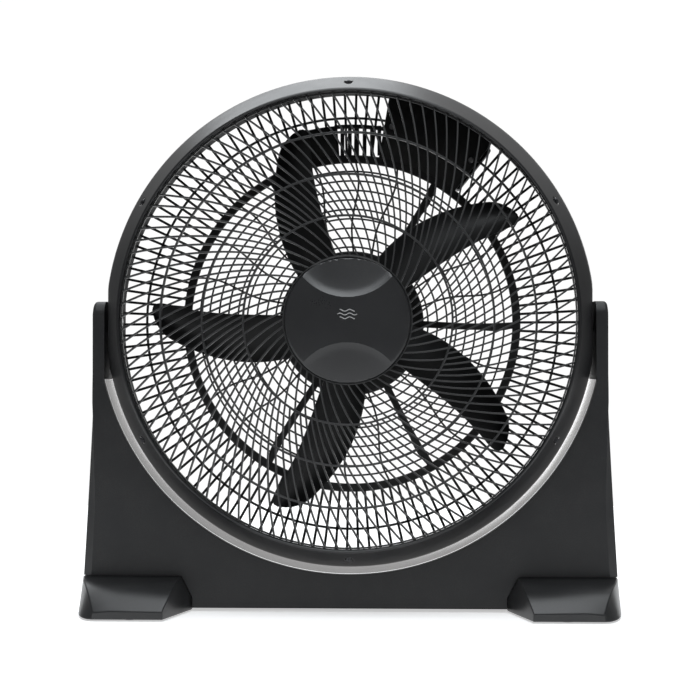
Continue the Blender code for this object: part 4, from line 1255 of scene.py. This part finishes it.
# ------------------------------------------------------------------ floor, light and camera
# A plain pale floor in a white room, with broad soft lights overhead, behind and high in front,
# and the camera a little to the right of the fan and just below the height of its hub.
def build_floor():
    form = bmesh.new()
    bmesh.ops.create_circle(form, cap_ends=True, segments=96, radius=floor_radius,
                            matrix=Matrix.Translation((0.0, 0.15, 0.0)))
    mesh = bpy.data.meshes.new("studio_floor")
    form.to_mesh(mesh)
    form.free()
    made = bpy.data.materials.new("pale_floor")
    made.use_nodes = True
    tree = made.node_tree
    shader = tree.nodes["Principled BSDF"]
    place = node(tree, "ShaderNodeTexCoord").outputs["Object"]
    cloud = node(tree, "ShaderNodeTexNoise", {"Vector": place, "Scale": 3.0}).outputs[0]
    tree.links.new(tint(tree, cloud, (0.90, 0.90, 0.90, 1.0), (0.93, 0.93, 0.93, 1.0)),
                   shader.inputs["Base Color"])
    shader.inputs["Roughness"].default_value = 0.9
    shader.inputs["Emission Color"].default_value = (1.0, 1.0, 1.0, 1.0)
    shader.inputs["Emission Strength"].default_value = 0.50
    mesh.materials.append(made)
    floor = bpy.data.objects.new("studio_floor", mesh)
    bpy.context.scene.collection.objects.link(floor)
    return floor


def build_room():
    """A world that is white to look at, and as a light dim in front and brighter behind and above."""
    world = bpy.data.worlds.new("white_room")
    world.use_nodes = True
    tree = world.node_tree
    seen = node(tree, "ShaderNodeLightPath").outputs["Is Camera Ray"]
    way = node(tree, "ShaderNodeSeparateXYZ", {0: node(tree, "ShaderNodeTexCoord").outputs["Generated"]})
    behind = calc(tree, "MULTIPLY_ADD", way.outputs["Y"], room_slope, room_start, clamp=True)
    aside = calc(tree, "MULTIPLY_ADD", calc(tree, "ABSOLUTE", way.outputs["X"]), strip_slope, strip_start,
                 clamp=True)
    strips = calc(tree, "MULTIPLY_ADD", calc(tree, "MULTIPLY", behind, aside), room_back, room_front)
    above = calc(tree, "MULTIPLY_ADD", way.outputs["Z"], 2.5, -0.5, clamp=True)
    rear = calc(tree, "MULTIPLY", way.outputs["Y"], 2.0, clamp=True)
    glow = calc(tree, "MULTIPLY_ADD", calc(tree, "MULTIPLY", above, rear), room_above, strips)
    shown = calc(tree, "MULTIPLY_ADD", seen, calc(tree, "SUBTRACT", 1.02, glow), glow)
    light = tree.nodes["Background"]
    tree.links.new(shown, light.inputs["Strength"])
    light.inputs["Color"].default_value = (1.0, 1.0, 1.0, 1.0)
    bpy.context.scene.world = world


def soft_light(name, spot, aim, size, power):
    lamp = bpy.data.lights.new(name, "AREA")
    lamp.shape = "RECTANGLE"
    lamp.size, lamp.size_y = size
    lamp.energy = power
    lamp.color = (0.93, 0.97, 1.0)
    made = bpy.data.objects.new(name, lamp)
    bpy.context.scene.collection.objects.link(made)
    made.location = spot
    made.rotation_mode = "QUATERNION"
    made.rotation_quaternion = (Vector(aim) - Vector(spot)).to_track_quat("-Z", "Y")


floor_radius = 1.15
room_slope, room_start = 10.0, -9.0       # bright only in a cone behind the fan
strip_slope, strip_start = 9.3, -0.535    # and there only to the left and right
room_front, room_back, room_above = 0.15, 2.80, 0.50
build_floor()
build_room()
soft_light("overhead", (0.0, -0.4, 2.3), (0.0, -0.3, 0.3), (1.5, 1.9), 32.0)
soft_light("back_top", (-0.35, 1.6, 2.3), (0.0, 0.8, 0.3), (1.7, 1.9), 20.0)
soft_light("front_top", (0.0, -2.1, 2.5), (0.0, 0.0, 0.3), (1.2, 1.0), 26.0)
bpy.context.scene.view_settings.view_transform = "Standard"

lens = bpy.data.cameras.new("studio_camera")
lens.lens = 76.94
lens.sensor_width = 36.0
lens.clip_start, lens.clip_end = 0.05, 50.0
viewer = bpy.data.objects.new("studio_camera", lens)
bpy.context.scene.collection.objects.link(viewer)
viewer.location = (0.051, -1.700, 0.2814)
viewer.rotation_mode = "QUATERNION"
viewer.rotation_quaternion = (Vector((0.0, 0.0, 0.2924)) - viewer.location).to_track_quat("-Z", "Y")
bpy.context.scene.camera = viewer
